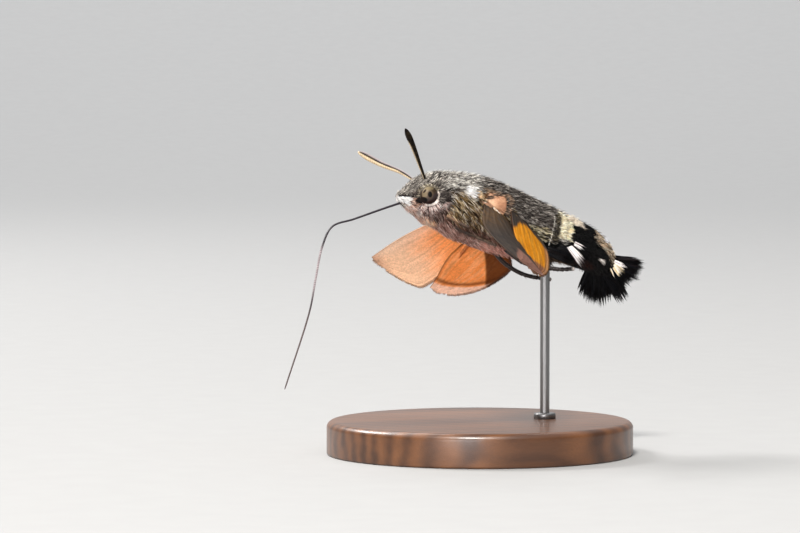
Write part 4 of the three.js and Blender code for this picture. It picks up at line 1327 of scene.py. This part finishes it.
def make_stand():
    lower = [(0, 0), (BASE_RADIUS - 0.5, 0), (BASE_RADIUS - 0.3, 0.02)]
    lower += arc((BASE_RADIUS - BASE_FOOT, BASE_FOOT), BASE_FOOT, -80, 0, 5)
    upper = arc((BASE_RADIUS - BASE_ROUND, BASE_HEIGHT - BASE_ROUND), BASE_ROUND, 0, 88, 10)
    top = [(BASE_RADIUS - 1.2, BASE_HEIGHT)] + [(r, BASE_HEIGHT) for r in (12, 8, 4, 1)] + [(0, BASE_HEIGHT)]
    walnut = make_walnut_finish()
    lathe("stand_base_turned", lower + upper + top, (0, 0), BASE_SIDES, walnut, ("stand_base",))
    steel = make_steel_finish()
    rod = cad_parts["stand_rod"]
    rod.data.materials.clear()
    rod.data.materials.append(steel)
    sunk, edge = BASE_HEIGHT - 0.2, BASE_HEIGHT + COLLAR_EDGE
    collar = [(0, sunk), (COLLAR_RADIUS, sunk), (COLLAR_RADIUS, edge - 0.05)]
    collar += arc((COLLAR_RADIUS - COLLAR_ROUND, edge), COLLAR_ROUND, 0, 90, 6)
    collar += [(0.52, edge + COLLAR_ROUND), (0, edge + COLLAR_ROUND)]
    lathe("stand_collar", collar, ROD_AT, COLLAR_SIDES, steel)


# Setting: floor, lights, camera
VIEW_AZIMUTH, VIEW_ELEVATION = math.radians(-22), math.radians(3)
CAMERA_AT = Vector((-163.724, -382.986, 41.409)) * MM
LENS, SENSOR = 180.0, 36.0
# Radius of the floor's flat middle and of the bend that takes it up behind the moth, in metres
FLOOR_FLAT, FLOOR_BEND = 0.75, 1.75
FLOOR_SIDES, FLAT_RINGS, BEND_RINGS = 128, 24, 44
FLOOR_GREYS = (0.29, 0.31)
SKY_COLOUR, SKY_STRENGTH = (0.95, 0.97, 1.0, 1), 0.62
MIDDLE = (0, 0, THORAX_HEIGHT * MM)
# Lights: name, place and aim in metres, size, power, colour
LIGHTS = (
    ("key", (-0.22, -0.36, 0.55), MIDDLE, 0.12, 7.5, (1.0, 0.97, 0.92)),
    ("fill", (-0.38, -0.52, 0.05), MIDDLE, 0.30, 3.4, (1.0, 0.97, 0.97)),
    ("rim", (-0.30, 0.42, 0.50), MIDDLE, 0.22, 5.5, (1.0, 0.98, 0.96)),
    ("backdrop", (0.3, 1.0, 1.3), (0.5, 1.7, 0.2), 1.0, 26.0, (1.0, 1.0, 1.0)),
)


def make_floor():
    f = Finish("floor_card", Roughness=0.9, Specular_IOR_Level=0.2)
    f.feed("Base Color", f.grey(f.grain(f.place(), 4.0), *FLOOR_GREYS))
    bend = np.radians(np.linspace(2, 90, BEND_RINGS))
    flat = np.linspace(0.05, FLOOR_FLAT, FLAT_RINGS)
    radii = np.concatenate([flat, FLOOR_FLAT + FLOOR_BEND * np.sin(bend)])
    heights = np.concatenate([0 * flat, FLOOR_BEND * (1 - np.cos(bend))])
    angle = np.linspace(0, 2 * np.pi, FLOOR_SIDES, endpoint=False)
    points = np.stack([radii[:, None] * np.cos(angle), radii[:, None] * np.sin(angle),
                       np.repeat(heights[:, None], FLOOR_SIDES, 1)], -1).reshape(-1, 3)
    mesh = bpy.data.meshes.new("floor")
    quads = ring_faces(len(radii), FLOOR_SIDES, closed=False)[0][:, ::-1]
    mesh.from_pydata(points.tolist(), [], quads.tolist() + [list(range(FLOOR_SIDES))])
    mesh.polygons.foreach_set("use_smooth", np.ones(len(mesh.polygons), bool))
    mesh.materials.append(f.material)
    shown("floor", mesh)


def shown(name, data, place=(0, 0, 0), way=None):
    """An object put into the scene at a place, facing a way."""
    obj = bpy.data.objects.new(name, data)
    obj.location = place
    if way:
        obj.rotation_euler = way.to_track_quat("-Z", "Y").to_euler()
    bpy.context.scene.collection.objects.link(obj)
    return obj


def make_lights():
    world = bpy.data.worlds.new("studio")
    bpy.context.scene.world = world
    world.use_nodes = True
    sky = world.node_tree.nodes["Background"].inputs
    sky["Color"].default_value = SKY_COLOUR
    sky["Strength"].default_value = SKY_STRENGTH
    for name, place, aim, size, power, colour in LIGHTS:
        light = bpy.data.lights.new(name, "AREA")
        light.size, light.energy, light.color = size, power, colour
        shown(name, light, place, Vector(aim) - Vector(place))


def make_camera():
    camera = bpy.data.cameras.new("camera")
    camera.lens, camera.sensor_width = LENS, SENSOR
    camera.clip_start, camera.clip_end = 0.01, 20
    level = math.cos(VIEW_ELEVATION)
    way = Vector((-math.sin(VIEW_AZIMUTH) * level, math.cos(VIEW_AZIMUTH) * level, -math.sin(VIEW_ELEVATION)))
    bpy.context.scene.camera = shown("camera", camera, CAMERA_AT, way)
    bpy.context.scene.view_settings.view_transform = "Standard"


make_skin()
make_coat()
make_rows()
for side_name, side_sign in SIDES.items():
    make_eye(f"eye_{side_name}", side_sign)
    make_eye_rings(f"eye_{side_name}", side_sign)
    make_feeler(side_name)
make_proboscis()
make_legs()
for wing_name, wing in WINGS.items():
    make_wing(wing_name, wing)
    make_fringe(wing_name, wing)
for side_name, side_sign in SIDES.items():
    make_shield(side_name, side_sign)
make_fan()
make_side_tufts()
make_stand()
make_floor()
make_lights()
make_camera()
